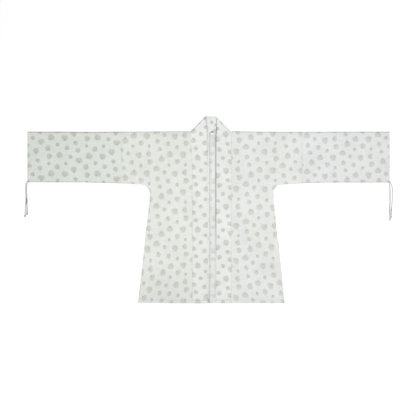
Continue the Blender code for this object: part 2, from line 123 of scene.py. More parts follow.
def roundedPath(corners, arcStep=0.08):
    # an open chain through the corners, each turned on an arc of its own radius
    result = []
    for index, (across, down, radius) in enumerate(corners):
        here = np.array((across, down))
        if radius == 0:
            result.append(here)
            continue
        before = np.array(corners[index - 1][:2]) - here
        after = np.array(corners[index + 1][:2]) - here
        before, after = before / np.linalg.norm(before), after / np.linalg.norm(after)
        half = math.acos(np.clip(before @ after, -1, 1)) / 2
        middleWay = (before + after) / np.linalg.norm(before + after)
        centre = here + middleWay * radius / math.sin(half)
        reach = radius / math.tan(half)
        first, last = here + before * reach - centre, here + after * reach - centre
        turn = math.pi - 2 * half
        share = np.linspace(0, 1, max(3, math.ceil(turn / arcStep)) + 1)[:, None]
        swung = np.sin((1 - share) * turn) * first + np.sin(share * turn) * last
        result += list(centre + swung / math.sin(turn))
    return np.array(result)


def distanceToPath(x, y, path):
    # shortest distance from each point to a chain of straight stretches
    nearest = np.full(np.shape(x), np.inf)
    for start, end in zip(path[:-1], path[1:]):
        run = end - start
        share = np.clip(((x - start[0]) * run[0] + (y - start[1]) * run[1]) / (run @ run), 0, 1)
        away = np.hypot(x - start[0] - share * run[0], y - start[1] - share * run[1])
        nearest = np.minimum(nearest, away)
    return nearest


def outsideNormals(path):
    # unit normals of a path on its right-hand side, from the differences between neighbouring points
    run = np.gradient(path, axis=0)
    normals = np.stack([run[:, 1], -run[:, 0]], axis=1)
    return normals / np.linalg.norm(normals, axis=1)[:, None]


closedLines = {}   # underarm and side fold of each half, from the cuff to the hem, by every other corner
for side, sign in sides.items():
    line = roundedPath(cut["underarm"][side])[::2]
    lowest = (cut["underarm"][side][-1][0], cut["length"])
    line = np.vstack([[(cut["cuff"][side], cut["sleeveDepthCuff"])], line, [lowest]])
    keep = np.concatenate([[True], stepLengths(line) > 1e-6])
    closedLines[side] = line[keep] * (sign, -1)

# Soft swells of the front layer over the back one, as x, y, length, width, turn in degrees and height
swells = [
    (-0.72, -0.095, 0.19, 0.04, 4, 0.0013), (-0.61, -0.185, 0.15, 0.032, -7, 0.001),
    (-0.395, -0.15, 0.13, 0.036, -36, 0.0014), (-0.235, -0.12, 0.12, 0.04, -64, 0.001),
    (-0.205, -0.43, 0.2, 0.042, 84, 0.0012), (-0.285, -0.69, 0.17, 0.036, 80, 0.0014),
    (-0.17, -0.75, 0.12, 0.034, 93, 0.0011), (0.7, -0.14, 0.21, 0.044, -3, 0.0014),
    (0.545, -0.075, 0.12, 0.03, 8, 0.0009), (0.385, -0.165, 0.12, 0.034, 40, 0.0013),
    (0.215, -0.19, 0.14, 0.042, 70, 0.0011), (0.245, -0.52, 0.21, 0.04, 97, 0.0014),
    (0.16, -0.7, 0.15, 0.036, 88, 0.001), (0.3, -0.79, 0.09, 0.032, 101, 0.0012),
]
loft = {"height": 0.0008, "edge": 0.05}   # clear height away from the folds, and the distance it rises over

# The collar as laid: the fold on the wearer's right lies further out and takes the cloth beside it along.
# How far, the lengths over which that dies away down the free edge, down the seam and out along the
# shoulder, and how far the collar's top is eased up
drawn = {"out": 0.0122, "free": 0.026, "seam": 0.09, "side": 0.1, "rise": 0.0012}

# The side lines and the hem as laid: how far out the cloth lies at places down, and how far the hem hangs
sideSway = {
    "right": [(0.26, 0.0), (0.305, -0.0024), (0.36, -0.0003), (0.5, 0.0008), (0.57, -0.0008),
              (0.67, -0.0018), (0.72, -0.0018), (0.77, -0.0013), (0.85, -0.0013)],
    "left": [(0.26, 0.0), (0.31, 0.0034), (0.36, 0.003), (0.42, 0.004), (0.47, 0.001), (0.52, 0.0012),
             (0.566, 0.0038), (0.62, 0.0018), (0.67, 0.0018), (0.72, 0.0012), (0.765, -0.001),
             (0.85, -0.001)],
    "from": 0.18, "over": 0.12,   # distance from the middle where it sets in, and the width it grows over
}
hemHang = {
    "places": [(-0.333, -0.0006), (-0.27, 0.0001), (-0.198, 0.0017), (-0.129, 0.0017), (-0.061, 0.0025),
               (0.0, 0.0018), (0.06, 0.001), (0.13, 0.0011), (0.2, 0.0006), (0.275, 0.0008),
               (0.334, 0.0012)],
    "reach": 0.06,
}

# The top folds don't lie quite straight: how far they lie below the shoulder line at places across, and
# the distance below them over which that dies away
foldSag = {
    "places": [(-0.92, 0.0024), (-0.845, 0.0028), (-0.746, 0.0023), (-0.646, 0.0037), (-0.547, 0.0033),
               (-0.447, 0.0023), (-0.348, 0.0018), (-0.248, 0.0009), (-0.164, 0.0002), (-0.11, 0.0),
               (0.11, 0.0), (0.155, 0.0007), (0.24, 0.0024), (0.339, 0.003), (0.439, 0.0032),
               (0.538, 0.003), (0.638, 0.0026), (0.738, 0.0022), (0.822, 0.0024), (0.89, 0.002)],
    "reach": 0.08,
}

# Creases laid in one by one: x, y, half length, width, turn in degrees, bend in metres, and height, below 0
# for a trough
frontCreases = [
    (-0.86, -0.07, 0.06, 0.009, -12, 0.006, 0.00055), (-0.835, -0.19, 0.045, 0.007, 22, -0.004, 0.00045),
    (-0.77, -0.15, 0.09, 0.012, 6, 0.01, -0.0005), (-0.69, -0.205, 0.055, 0.008, -18, 0.005, 0.0004),
    (-0.64, -0.06, 0.08, 0.01, 9, -0.008, 0.00055), (-0.56, -0.135, 0.07, 0.009, -28, 0.006, -0.00045),
    (-0.505, -0.215, 0.05, 0.007, 14, 0.004, 0.00045), (-0.42, -0.07, 0.075, 0.011, -14, 0.007, -0.00045),
    (-0.372, -0.215, 0.06, 0.008, -52, -0.006, 0.0006), (-0.335, -0.165, 0.085, 0.01, -61, 0.009, -0.00055),
    (-0.306, -0.12, 0.1, 0.006, 88, 0.003, 0.0004), (-0.27, -0.235, 0.07, 0.009, -40, 0.008, 0.00055),
    (-0.19, -0.11, 0.085, 0.012, 78, -0.007, -0.0004), (-0.24, -0.33, 0.1, 0.011, 96, 0.008, -0.00045),
    (-0.15, -0.29, 0.12, 0.009, 86, -0.006, 0.0004), (-0.275, -0.47, 0.09, 0.009, 79, 0.007, 0.0005),
    (-0.18, -0.56, 0.11, 0.012, 93, 0.009, -0.0005), (-0.31, -0.62, 0.07, 0.008, 88, -0.005, -0.00045),
    (-0.135, -0.69, 0.08, 0.008, 84, 0.004, 0.0004), (-0.235, -0.77, 0.075, 0.01, 99, -0.007, 0.0006),
    (-0.325, -0.8, 0.05, 0.007, 82, 0.004, 0.00045), (0.835, -0.08, 0.065, 0.009, 16, 0.006, 0.00045),
    (0.8, -0.205, 0.05, 0.007, -10, -0.005, -0.00045), (0.715, -0.06, 0.085, 0.011, -7, 0.009, -0.00045),
    (0.64, -0.19, 0.075, 0.009, 12, -0.006, 0.0005), (0.575, -0.125, 0.06, 0.008, 31, 0.005, 0.0004),
    (0.5, -0.215, 0.055, 0.007, -9, 0.004, -0.0004), (0.44, -0.055, 0.08, 0.01, 15, -0.007, 0.00045),
    (0.365, -0.22, 0.06, 0.008, 50, 0.006, 0.0006), (0.33, -0.14, 0.09, 0.011, 63, -0.009, -0.0005),
    (0.262, -0.24, 0.065, 0.009, 44, -0.006, 0.0005), (0.175, -0.1, 0.07, 0.01, 101, 0.006, -0.0004),
    (0.235, -0.35, 0.11, 0.011, 83, -0.008, 0.00045), (0.14, -0.4, 0.12, 0.008, 94, 0.005, -0.0004),
    (0.285, -0.5, 0.085, 0.009, 100, 0.007, -0.0005), (0.19, -0.59, 0.1, 0.011, 87, -0.008, 0.0005),
    (0.32, -0.68, 0.07, 0.008, 95, 0.005, 0.00045), (0.145, -0.77, 0.065, 0.008, 91, -0.004, 0.0004),
    (0.25, -0.77, 0.08, 0.01, 80, 0.007, -0.00055),
]
backCreases = [
    (-0.8, -0.12, 0.11, 0.012, 8, 0.01, 0.0006), (-0.655, -0.065, 0.08, 0.009, -16, -0.006, 0.00045),
    (-0.56, -0.19, 0.09, 0.011, 12, 0.008, 0.00055), (-0.39, -0.11, 0.11, 0.012, -38, -0.01, 0.00065),
    (-0.29, -0.215, 0.08, 0.009, -55, 0.006, 0.0005), (-0.12, -0.06, 0.07, 0.01, 14, 0.005, 0.00045),
    (-0.075, -0.3, 0.15, 0.011, 86, 0.009, 0.00055), (-0.22, -0.48, 0.12, 0.012, 97, -0.009, 0.00065),
    (-0.13, -0.66, 0.1, 0.009, 82, 0.007, 0.0005), (-0.29, -0.74, 0.08, 0.01, 90, 0.006, 0.00055),
    (0.79, -0.165, 0.1, 0.011, -11, -0.009, 0.0006), (0.64, -0.08, 0.09, 0.01, 7, 0.008, 0.0005),
    (0.49, -0.18, 0.08, 0.009, -19, 0.006, 0.0005), (0.36, -0.12, 0.11, 0.012, 42, 0.01, 0.00065),
    (0.13, -0.075, 0.08, 0.009, -9, -0.005, 0.00045), (0.085, -0.38, 0.14, 0.011, 93, -0.008, 0.00055),
    (0.235, -0.33, 0.09, 0.01, 70, 0.007, 0.00055), (0.18, -0.61, 0.12, 0.012, 84, 0.01, 0.0006),
    (0.3, -0.7, 0.08, 0.009, 99, -0.006, 0.0005), (0.09, -0.77, 0.06, 0.008, 88, 0.004, 0.00045),
]
# The distance from a fold or an edge over which a crease dies away, how much wider it is at its end, and
# where along it the fading ends, in half lengths
creaseForm = {"fade": 0.014, "widen": 0.35, "end": 1.3}


def edgeDistance(x, y):
    # distance from the flat part's outline: the shoulder fold, the underarm, the sides and the under fold
    edge = -y
    for line in closedLines.values():
        edge = np.minimum(edge, distanceToPath(x, y, line))
    return np.maximum(edge - layers["foldRadius"], 0)


def sagAt(x, y):
    # how far the top fold sags, and how much of that a point shares: all at the fold, none past the reach
    sag = tableAt(x, foldSag["places"])
    return sag, sag * smoothStep(1 + y / foldSag["reach"])


def drawnOut(x, y):
    # how far a point lies further to the right: most along the fold, dying away below it and to both sides
    width, free = cut["bandWidth"], cut["bandSeam"] - cut["bandWidth"]
    share = np.clip((-x - free) / width, 0, 1)
    below = np.maximum(cut["collarTop"] - share * width - y, 0)
    length = drawn["free"] + (drawn["seam"] - drawn["free"]) * share
    beside = smoothStep(-x / free) * smoothStep(1 + (x + cut["bandSeam"]) / drawn["side"])
    return drawn["out"] * beside * np.exp(-below / length)


def hangAt(x, y):   # how far the hem and the cloth above it hang down
    return tableAt(x, hemHang["places"]) * smoothStep(1 - (cut["length"] + y) / hemHang["reach"])


def asLaid(x, y, side):
    # where a point of a panel lies once the collar is drawn out, the side sways and the hem hangs
    sway = tableAt(-y, sideSway[side]) * smoothStep((np.abs(x) - sideSway["from"]) / sideSway["over"])
    return x - drawnOut(x, y) + np.sign(x) * sway, y - hangAt(x, y)


def nearestEdge(distances, lines):
    # at every point the distance from the nearest of several edges, and how dark its painted shade line is
    distances = np.stack(np.broadcast_arrays(*distances))
    lines = np.stack([np.broadcast_to(line, distances.shape[1:]) for line in lines])
    nearest = distances.argmin(axis=0)[None]
    return [np.take_along_axis(rows, nearest, axis=0)[0] for rows in (distances, lines)]


def alongAndAside(x, y, placeX, placeY, turn):   # how far points lie along and beside a turned line
    cosine, sine = math.cos(math.radians(turn)), math.sin(math.radians(turn))
    x, y = x - placeX, y - placeY
    return x * cosine + y * sine, y * cosine - x * sine


def swellHeight(x, y, edge):
    # a loft plus bells that are long one way and narrow the other, both nothing at the folds
    height = np.full(np.shape(x), loft["height"])
    for placeX, placeY, length, width, turn, rise in swells:
        along, aside = alongAndAside(x, y, placeX, placeY, turn)
        height = height + rise * np.exp(-((along / length) ** 2) - (aside / width) ** 2)
    return height * smoothStep(edge / loft["edge"])


def creaseHeight(x, y, edge, creases):
    # each crease is a bell across a gently bent line, fading out towards both of its ends
    height = np.zeros(np.shape(x))
    for placeX, placeY, length, width, turn, bend, rise in creases:
        along, aside = alongAndAside(x, y, placeX, placeY, turn)
        along = along / length
        across = softBump(aside - bend * along ** 2, width * (1 + creaseForm["widen"] * along))
        height += rise * across * smoothStep(creaseForm["end"] - np.abs(along))
    return height * smoothStep(edge / creaseForm["fade"])


def spotShade(x, y, spots):   # the sum of round soft spots
    return sum(amount * softBump(np.hypot(x - placeX, y - placeY), size)
               for placeX, placeY, size, amount in spots)


def gridCells(rows, columns, start):   # the four corners of every cell of a grid, row by row
    first = start + np.arange(rows - 1)[:, None] * columns + np.arange(columns - 1)[None, :]
    return np.stack([first, first + 1, first + columns + 1, first + columns], axis=-1).reshape(-1, 4)


def tubeCells(rings, around):   # the same between the rings of a tube, whose last column meets its first
    start, step = np.arange(rings - 1)[:, None] * around, np.arange(around)[None, :]
    first, second = start + step, start + (step + 1) % around
    return np.stack([first, second, second + around, first + around], axis=-1).reshape(-1, 4)


def turnedOut(grid, cells, outward):
    # cells in the order that makes their normals point outwards, judged over the whole grid
    across = grid[:-1, 1:] - grid[:-1, :-1]
    down = grid[1:, :-1] - grid[:-1, :-1]
    facing = (np.cross(across, down) * outward).sum()
    return cells if facing > 0 else cells[:, ::-1]


def newMesh(name, points, cells, places, values, weld=None, closed=False):
    # points moved into the frame, each with its place on the cloth and its values; then those that meet are
    # joined, and the faces of a closed form are turned outwards
    mesh = bpy.data.meshes.new(name)
    mesh.from_pydata(points + (neckX, shoulderY, 0), [], cells)
    places = places[np.concatenate(cells)].astype(np.float32).ravel()
    mesh.uv_layers.new(name="cloth").data.foreach_set("uv", places)
    for key, numbers in values.items():
        mesh.attributes.new(key, "FLOAT", "POINT").data.foreach_set("value", numbers.astype(np.float32))
    joined = bmesh.new()
    joined.from_mesh(mesh)
    if weld:
        bmesh.ops.remove_doubles(joined, verts=joined.verts, dist=weld)
    if closed:
        bmesh.ops.recalc_face_normals(joined, faces=joined.faces)
    joined.to_mesh(mesh)
    joined.free()
    return mesh


def addObject(name, data):
    thing = bpy.data.objects.new(name, data)
    bpy.context.scene.collection.objects.link(thing)
    return thing


def finishPiece(piece, nodes):   # smooth faces, its body and what it stands for
    faces = piece.data.polygons
    faces.foreach_set("use_smooth", np.ones(len(faces), bool))
    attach(piece, "root")
    if nodes:
        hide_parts(*nodes)
    return piece


# What every point of a cloth knows of its place: how far the nearest edge is, how dark the painted shade
# line along that edge is, and how much painted shade the cloth has there
clothValues = ("edge", "line", "shade")


def clothPiece(name, patches, materials, nodes, wall=layers["wall"]):
    # a sheet of cloth: its grids joined where they meet, then given a wall inwards and crisp raw edges
    points, places, cells, start = [], [], [], 0
    values = {key: [] for key in clothValues}
    for patch in patches:
        grid = patch["points"]
        rows, columns = grid.shape[:2]
        cells.append(turnedOut(grid, gridCells(rows, columns, start), patch["outward"]))
        points.append(grid.reshape(-1, 3))
        places.append(np.broadcast_to(patch["place"], (rows, columns, 2)).reshape(-1, 2))
        for key in clothValues:
            values[key].append(np.broadcast_to(patch.get(key, 0.0), (rows, columns)).reshape(-1))
        start += rows * columns
    points, places, cells = map(np.concatenate, (points, places, cells))
    values = {key: np.concatenate(numbers) for key, numbers in values.items()}
    mesh = newMesh(name, points, cells, places, values, weld=layers["weld"])
    for material in materials:
        mesh.materials.append(material)
    piece = addObject(name, mesh)
    solid = piece.modifiers.new("wall", "SOLIDIFY")
    solid.thickness = wall
    solid.offset = -1
    solid.material_offset = len(materials) - 1
    bpy.context.view_layer.update()
    finished = bpy.data.meshes.new_from_object(piece.evaluated_get(bpy.context.evaluated_depsgraph_get()))
    piece.modifiers.clear()
    piece.data = finished
    bpy.data.meshes.remove(mesh)
    finished.name = name
    finishPiece(piece, nodes)
    finished.set_sharp_from_angle(angle=math.radians(layers["crispAngle"]))
    return piece


def foldPatch(flatEdge, normals, place, line, shade):
    # the outside of a fold: a half turn from the back layer's skin to the front layer's, square to its line
    turn = foldTurn[None, :, None]
    radius = layers["foldRadius"]
    normals = normals[:, None, :]
    flat = flatEdge[:, None, :] + normals * radius * np.cos(turn)
    height = np.broadcast_to(radius + radius * np.sin(turn), flat.shape[:2] + (1,))
    outward = np.concatenate([np.broadcast_to(normals, flat.shape), 0 * height], axis=-1)[:-1, :-1]
    wrapped = place[:, None, :] + normals * radius * (math.pi / 2 - turn)
    return {"points": np.concatenate([flat, height], axis=-1), "outward": outward, "place": wrapped,
            "line": line, "shade": shade}


# Straight above, looking down
camera = {"height": 4.89, "across": -0.0022, "up": 0.0076, "lens": 85, "sensor": 36, "farthest": 60}

cameraData = bpy.data.cameras.new("camera")
cameraData.lens = camera["lens"]
cameraData.sensor_width = camera["sensor"]
cameraData.clip_end = camera["farthest"]
cameraObject = addObject("camera", cameraData)
cameraObject.location = (camera["across"], camera["up"], camera["height"])
bpy.context.scene.camera = cameraObject


def setInputs(tree, node, inputs):   # each input is a plain value or the output of another node
    for key, value in inputs.items():
        if isinstance(value, bpy.types.NodeSocket):
            tree.links.new(value, node.inputs[key])
        else:
            node.inputs[key].default_value = value


def addNode(tree, kind, inputs=None, **settings):   # a node with its settings and inputs
    node = tree.nodes.new(kind)
    for key, value in settings.items():
        setattr(node, key, value)
    setInputs(tree, node, inputs or {})
    return node


def maths(tree, operation, *values):   # a sum on plain values, by the name that the node gives it
    return addNode(tree, "ShaderNodeMath", dict(enumerate(values)), operation=operation).outputs[0]


def vectorMaths(tree, operation, *values):   # the same on places and colours
    node = addNode(tree, "ShaderNodeVectorMath", dict(enumerate(values)), operation=operation)
    return node.outputs["Value"] if operation in ("LENGTH", "DOT_PRODUCT") else node.outputs["Vector"]


def noise(tree, place, scale, detail):   # soft random spots, finer with a larger scale
    inputs = {"Vector": place, "Scale": scale, "Detail": detail}
    return addNode(tree, "ShaderNodeTexNoise", inputs).outputs[0]


def pointValue(tree, name):   # a value that the mesh carries at every point
    return addNode(tree, "ShaderNodeAttribute", attribute_name=name).outputs["Fac"]


def softRange(tree, value, low, high, lowest=0.0, highest=1.0):
    # a value between low and high moved to between lowest and highest, with a soft start and end
    inputs = {"Value": value, "From Min": low, "From Max": high, "To Min": lowest, "To Max": highest}
    return addNode(tree, "ShaderNodeMapRange", inputs, interpolation_type="SMOOTHSTEP").outputs["Result"]


def mixed(tree, share, first, second, kind="RGBA"):   # from the first to the second by a share
    slots = {"RGBA": (6, 7, 2), "VECTOR": (4, 5, 1), "FLOAT": (2, 3, 0)}[kind]
    node = addNode(tree, "ShaderNodeMix", {0: share, slots[0]: first, slots[1]: second}, data_type=kind)
    return node.outputs[slots[2]]


def newGroup(name, inputs, outputs):
    # a node group with named sockets: (name, kind, start value) in, (name, kind) out
    group = bpy.data.node_groups.new(name, "ShaderNodeTree")
    for label, kind, value in inputs:
        socket = group.interface.new_socket(name=label, in_out="INPUT", socket_type="NodeSocket" + kind)
        if value is not None:
            socket.default_value = value
    for label, kind in outputs:
        group.interface.new_socket(name=label, in_out="OUTPUT", socket_type="NodeSocket" + kind)
    return group, group.nodes.new("NodeGroupInput"), group.nodes.new("NodeGroupOutput")


def linear(red, green, blue):   # a colour as a screen shows it, 0 to 255, in the renderer's linear light
    return tuple(((c / 255 + 0.055) / 1.055) ** 2.4 for c in (red, green, blue)) + (1.0,)


# Small leaf repeat of the print, charted on one repeat: centre across and down in repeats,
# length and width in metres, the way the tip points in degrees clockwise from the right, and how much
# it is a plain round bud instead of a notched fan.
leafPrint = {
    "repeat": (0.184, 0.181),
    "leaves": [
        (0.09, 0.126, 0.0215, 0.0205, -105, 0.3), (0.322, 0.992, 0.015, 0.014, -80, 1.0),
        (0.547, 0.086, 0.024, 0.0235, -140, 0.1), (0.771, 0.988, 0.0155, 0.015, -110, 1.0),
        (0.984, 0.158, 0.029, 0.025, -98, 0.1), (0.378, 0.275, 0.029, 0.029, -35, 0.0),
        (0.745, 0.287, 0.0275, 0.027, -80, 0.0), (0.119, 0.401, 0.026, 0.029, -92, 0.0),
        (0.553, 0.464, 0.018, 0.016, -70, 0.9), (0.028, 0.912, 0.02, 0.0185, 20, 0.4),
        (0.305, 0.579, 0.025, 0.0245, -135, 0.1), (0.801, 0.562, 0.0215, 0.0205, -60, 0.3),
        (0.344, 0.791, 0.0225, 0.0255, 175, 0.2), (0.604, 0.763, 0.028, 0.027, -45, 0.0),
        (0.897, 0.797, 0.0185, 0.018, -120, 0.7),
    ],
    # reach of a fan's outline from its tip round to its stalk, and of a bud's
    "outline": [(0.0, 0.8), (0.07, 0.88), (0.18, 0.99), (0.36, 1.0), (0.56, 0.86), (0.76, 0.7),
                (0.9, 0.74), (1.0, 0.92)],
    "budReach": 0.92,
    "spread": 1.12,                          # every leaf's size against the list
    "wobble": 0.2, "grain": 240.0,          # of the outline, like colour that ran a little into the threads
    "softness": 0.42,
    "base": (0.25, -0.85),                   # places along a leaf where its deep base begins and is full
    "rim": (0.38, 0.08), "rimDepth": 0.55,   # the same inside the outline for the rim
    "patches": 95.0, "patchDepth": (0.28, 0.62, 0.35, 1.0),   # uneven ink: noise range, shares
    "ribs": 13.0, "ribsFrom": 1.08, "ribRange": (0.72, 1.0),  # veins: waves round a point below the stalk
}
budMark = 0.1   # a bud's share in a leaf's third part, too small there to change a distance much


def makeLeafPrint():
    # finds the nearest leaf of the repeat, then reads its outline, its deep base, its rim and its veins
    outputs = [("Ink", "Float"), ("Depth", "Float"), ("Vein", "Float"), ("Bud", "Float")]
    group, start, end = newGroup("leafPrint", [("Place", "Vector", None)], outputs)
    repeatX, repeatY = leafPrint["repeat"]
    place = start.outputs["Place"]
    parts = addNode(group, "ShaderNodeSeparateXYZ", {0: place}).outputs
    # every next column of the repeat sits half a repeat lower
    slanted = maths(group, "MULTIPLY_ADD", parts[0], -0.5, parts[1])
    grid = addNode(group, "ShaderNodeCombineXYZ", {0: parts[0], 1: slanted}).outputs[0]
    nearest, best = (5.0, 5.0, 0.0), 9.0   # further off than any leaf
    for across, down, length, width, turn, bud in leafPrint["leaves"]:
        length, width = length * leafPrint["spread"], width * leafPrint["spread"]
        offset = vectorMaths(group, "SUBTRACT", grid, (across, down - across / 2, 0))
        offset = vectorMaths(group, "WRAP", offset, (0.5, 0.5, 0.5), (-0.5, -0.5, -0.5))
        cosine, sine = math.cos(math.radians(turn)), math.sin(math.radians(turn))
        alongX = (repeatX * cosine + repeatY * sine / 2) / (length / 2)
        asideX = (repeatY * cosine / 2 - repeatX * sine) / (width / 2)
        along = vectorMaths(group, "DOT_PRODUCT", offset, (alongX, repeatY * sine / (length / 2), 0))
        aside = vectorMaths(group, "DOT_PRODUCT", offset, (asideX, repeatY * cosine / (width / 2), 0))
        here = addNode(group, "ShaderNodeCombineXYZ", {0: along, 1: aside, 2: budMark * bud}).outputs[0]
        distance = vectorMaths(group, "LENGTH", here)
        nearest = mixed(group, maths(group, "LESS_THAN", distance, best), nearest, here, "VECTOR")
        best = maths(group, "MINIMUM", distance, best)
    leaf = addNode(group, "ShaderNodeSeparateXYZ", {0: nearest}).outputs
    fromTip = maths(group, "ABSOLUTE", maths(group, "ARCTAN2", leaf[1], leaf[0]))
    angle = maths(group, "DIVIDE", fromTip, math.pi)
    outline = addNode(group, "ShaderNodeFloatCurve", {"Value": angle})
    curve = outline.mapping.curves[0]
    for index, (share, reach) in enumerate(leafPrint["outline"]):
        if index in (0, len(leafPrint["outline"]) - 1):
            curve.points[0 if index == 0 else len(curve.points) - 1].location = (share, reach)
        else:
            curve.points.new(share, reach)
    outline.mapping.update()
    bud = maths(group, "MULTIPLY", leaf[2], 1 / budMark)
    rim = mixed(group, bud, outline.outputs[0], leafPrint["budReach"], "FLOAT")
    metres = vectorMaths(group, "MULTIPLY", place, (repeatX, repeatY, 1))
    grain = maths(group, "SUBTRACT", noise(group, metres, leafPrint["grain"], 2.0), 0.5)
    ran = maths(group, "MULTIPLY_ADD", grain, leafPrint["wobble"] * 2, best)
    inside = maths(group, "SUBTRACT", rim, ran)
    ink = softRange(group, inside, -leafPrint["softness"], leafPrint["softness"])
    base = softRange(group, leaf[0], *leafPrint["base"])
    edge = maths(group, "MULTIPLY", softRange(group, inside, *leafPrint["rim"]), leafPrint["rimDepth"])
    patch = softRange(group, noise(group, metres, leafPrint["patches"], 2.0), *leafPrint["patchDepth"])
    depth = maths(group, "MULTIPLY", maths(group, "MAXIMUM", base, edge), patch)
    fan = maths(group, "ARCTAN2", leaf[1], maths(group, "ADD", leaf[0], leafPrint["ribsFrom"]))
    ribs = maths(group, "COSINE", maths(group, "MULTIPLY", fan, leafPrint["ribs"]))
    ribs = softRange(group, ribs, *leafPrint["ribRange"])
    ribs = maths(group, "MULTIPLY", ribs, maths(group, "SUBTRACT", 1.0, bud))
    group.links.new(ink, end.inputs["Ink"])
    group.links.new(maths(group, "MULTIPLY", depth, ink), end.inputs["Depth"])
    group.links.new(maths(group, "MULTIPLY", ribs, ink), end.inputs["Vein"])
    group.links.new(bud, end.inputs["Bud"])
    return group


weave = {"pitch": 0.0011, "waves": 0.35, "slubAlong": 55.0, "slubAcross": 1500.0}
clouds = {"scales": (7.0, 75.0), "range": (0.36, 0.64)}


def makeClothWeave():
    # a plain weave of two crossed waves, and slubs: noise drawn out along each of the two threads
    outputs = [("Height", "Float"), ("Slub", "Float")]
    group, start, end = newGroup("clothWeave", [("Place", "Vector", None)], outputs)
    place = start.outputs["Place"]
    parts = addNode(group, "ShaderNodeSeparateXYZ", {0: place}).outputs
    turns = 2 * math.pi / weave["pitch"]
    waves = [maths(group, "SINE", maths(group, "MULTIPLY", part, turns)) for part in parts[:2]]
    along, across = weave["slubAlong"], weave["slubAcross"]
    slubs = [noise(group, vectorMaths(group, "MULTIPLY", place, scale), 1.0, 1.0)
             for scale in ((along, across, 1), (across, along, 1))]
    slub = maths(group, "MULTIPLY", maths(group, "ADD", *slubs), 0.5)
    height = maths(group, "MULTIPLY_ADD", maths(group, "MULTIPLY", *waves), weave["waves"], slub)
    group.links.new(height, end.inputs["Height"])
    group.links.new(slub, end.inputs["Slub"])
    return group


def makeCloudsAndPaintedShade():
    # one factor for the cloth's colour: soft random clouds, the painted shade at each point, and the
    # painted shade line along an edge
    inputs = [("Place", "Vector", None), ("Cloud", "Float", 0.03), ("Edge", "Float", 1.0),
              ("Line", "Float", 0.0), ("Line width", "Float", 0.006), ("Shade", "Float", 0.0)]
    group, start, end = newGroup("cloudsAndPaintedShade", inputs, [("Tone", "Float")])
    given = start.outputs
    large, small = (noise(group, given["Place"], scale, 3.0) for scale in clouds["scales"])
    both = maths(group, "MULTIPLY", maths(group, "ADD", large, small), 0.5)
    cloud = softRange(group, both, *clouds["range"], -1.0, 1.0)
    cloud = maths(group, "MULTIPLY_ADD", cloud, given["Cloud"], 1.0)
    near = softRange(group, given["Edge"], given["Line width"], 0.0)
    line = maths(group, "MULTIPLY", near, given["Line"])
    lit = maths(group, "SUBTRACT", 1.0, given["Shade"])
    tone = maths(group, "MULTIPLY", maths(group, "SUBTRACT", 1.0, line), lit)
    group.links.new(maths(group, "MULTIPLY", tone, cloud), end.inputs["Tone"])
    return group


groups = {"leafPrint": makeLeafPrint(), "clothWeave": makeClothWeave(), "cloudsAndPaintedShade": makeCloudsAndPaintedShade()}


def addGroup(tree, name, inputs):
    return addNode(tree, "ShaderNodeGroup", inputs, node_tree=groups[name]).outputs


# The print lies differently on every panel: which way up, the size of its repeat across and down, and
# where the repeat's corner falls, in repeats. Ink is how strong it shows.
clothLooks = {
    "right_sleeve": {"ground": (221, 225, 219), "ink": 1.12, "turned": 1, "repeat": (0.1881, 0.1803),
                     "shift": (0.635, 0.088)},
    "left_sleeve": {"ground": (225, 227, 226), "ink": 0.94, "turned": -1, "repeat": (0.1765, 0.1796),
                    "shift": (0.799, -0.5)},
    "right_body": {"ground": (228, 231, 226), "ink": 0.93, "turned": -1, "repeat": (0.1799, 0.1859),
                   "shift": (0.588, -0.603)},
    "left_body": {"ground": (227, 229, 226), "ink": 0.89, "turned": -1, "repeat": (0.1827, 0.1858),
                  "shift": (0.048, -0.688)},
    "collar_band": {"ground": (231, 233, 230), "ink": 1.08, "turned": 1, "repeat": (0.185, 0.1787),
                    "shift": (0.6, 0.47)},
}
# Share of the ground's light that each ink leaves, and how far each of its parts takes hold
inkLooks = {
    "leaf": (0.76, 0.78, 0.7, 1.0), "bud": (0.74, 0.75, 0.7, 1.0), "deep": (0.46, 0.48, 0.38, 1.0),
    "hold": 0.9, "depth": 0.62, "vein": 0.25, "inside": 0.6, "cloud": 0.04, "slub": 0.04,
    # lineWidth: how far in from an edge the painted shade line reaches
    "lineWidth": 0.0062,
}
# Relief is the strength and height of the threads; the streaks and the roughness follow the slubs
clothSurface = {
    "slubs": (0.3, 0.7), "printedRelief": (0.35, 0.00012), "printedRoughness": (0.8, 0.92),
    "specular": 0.25, "sheen": 0.08, "sheenRoughness": 0.6,
    "plainRelief": (0.6, 0.0002), "plainRoughness": 0.88, "plainStreaks": (0.88, 1.08),
}
white = (1.0, 1.0, 1.0, 1.0)


def newMaterial(name):   # with its node tree and the shader in it
    material = bpy.data.materials.new(name)
    material.use_nodes = True
    return material, material.node_tree, material.node_tree.nodes["Principled BSDF"]


def threadRelief(tree, height, relief):
    strength, distance = relief
    inputs = {"Strength": strength, "Distance": distance, "Height": height}
    return addNode(tree, "ShaderNodeBump", inputs).outputs["Normal"]


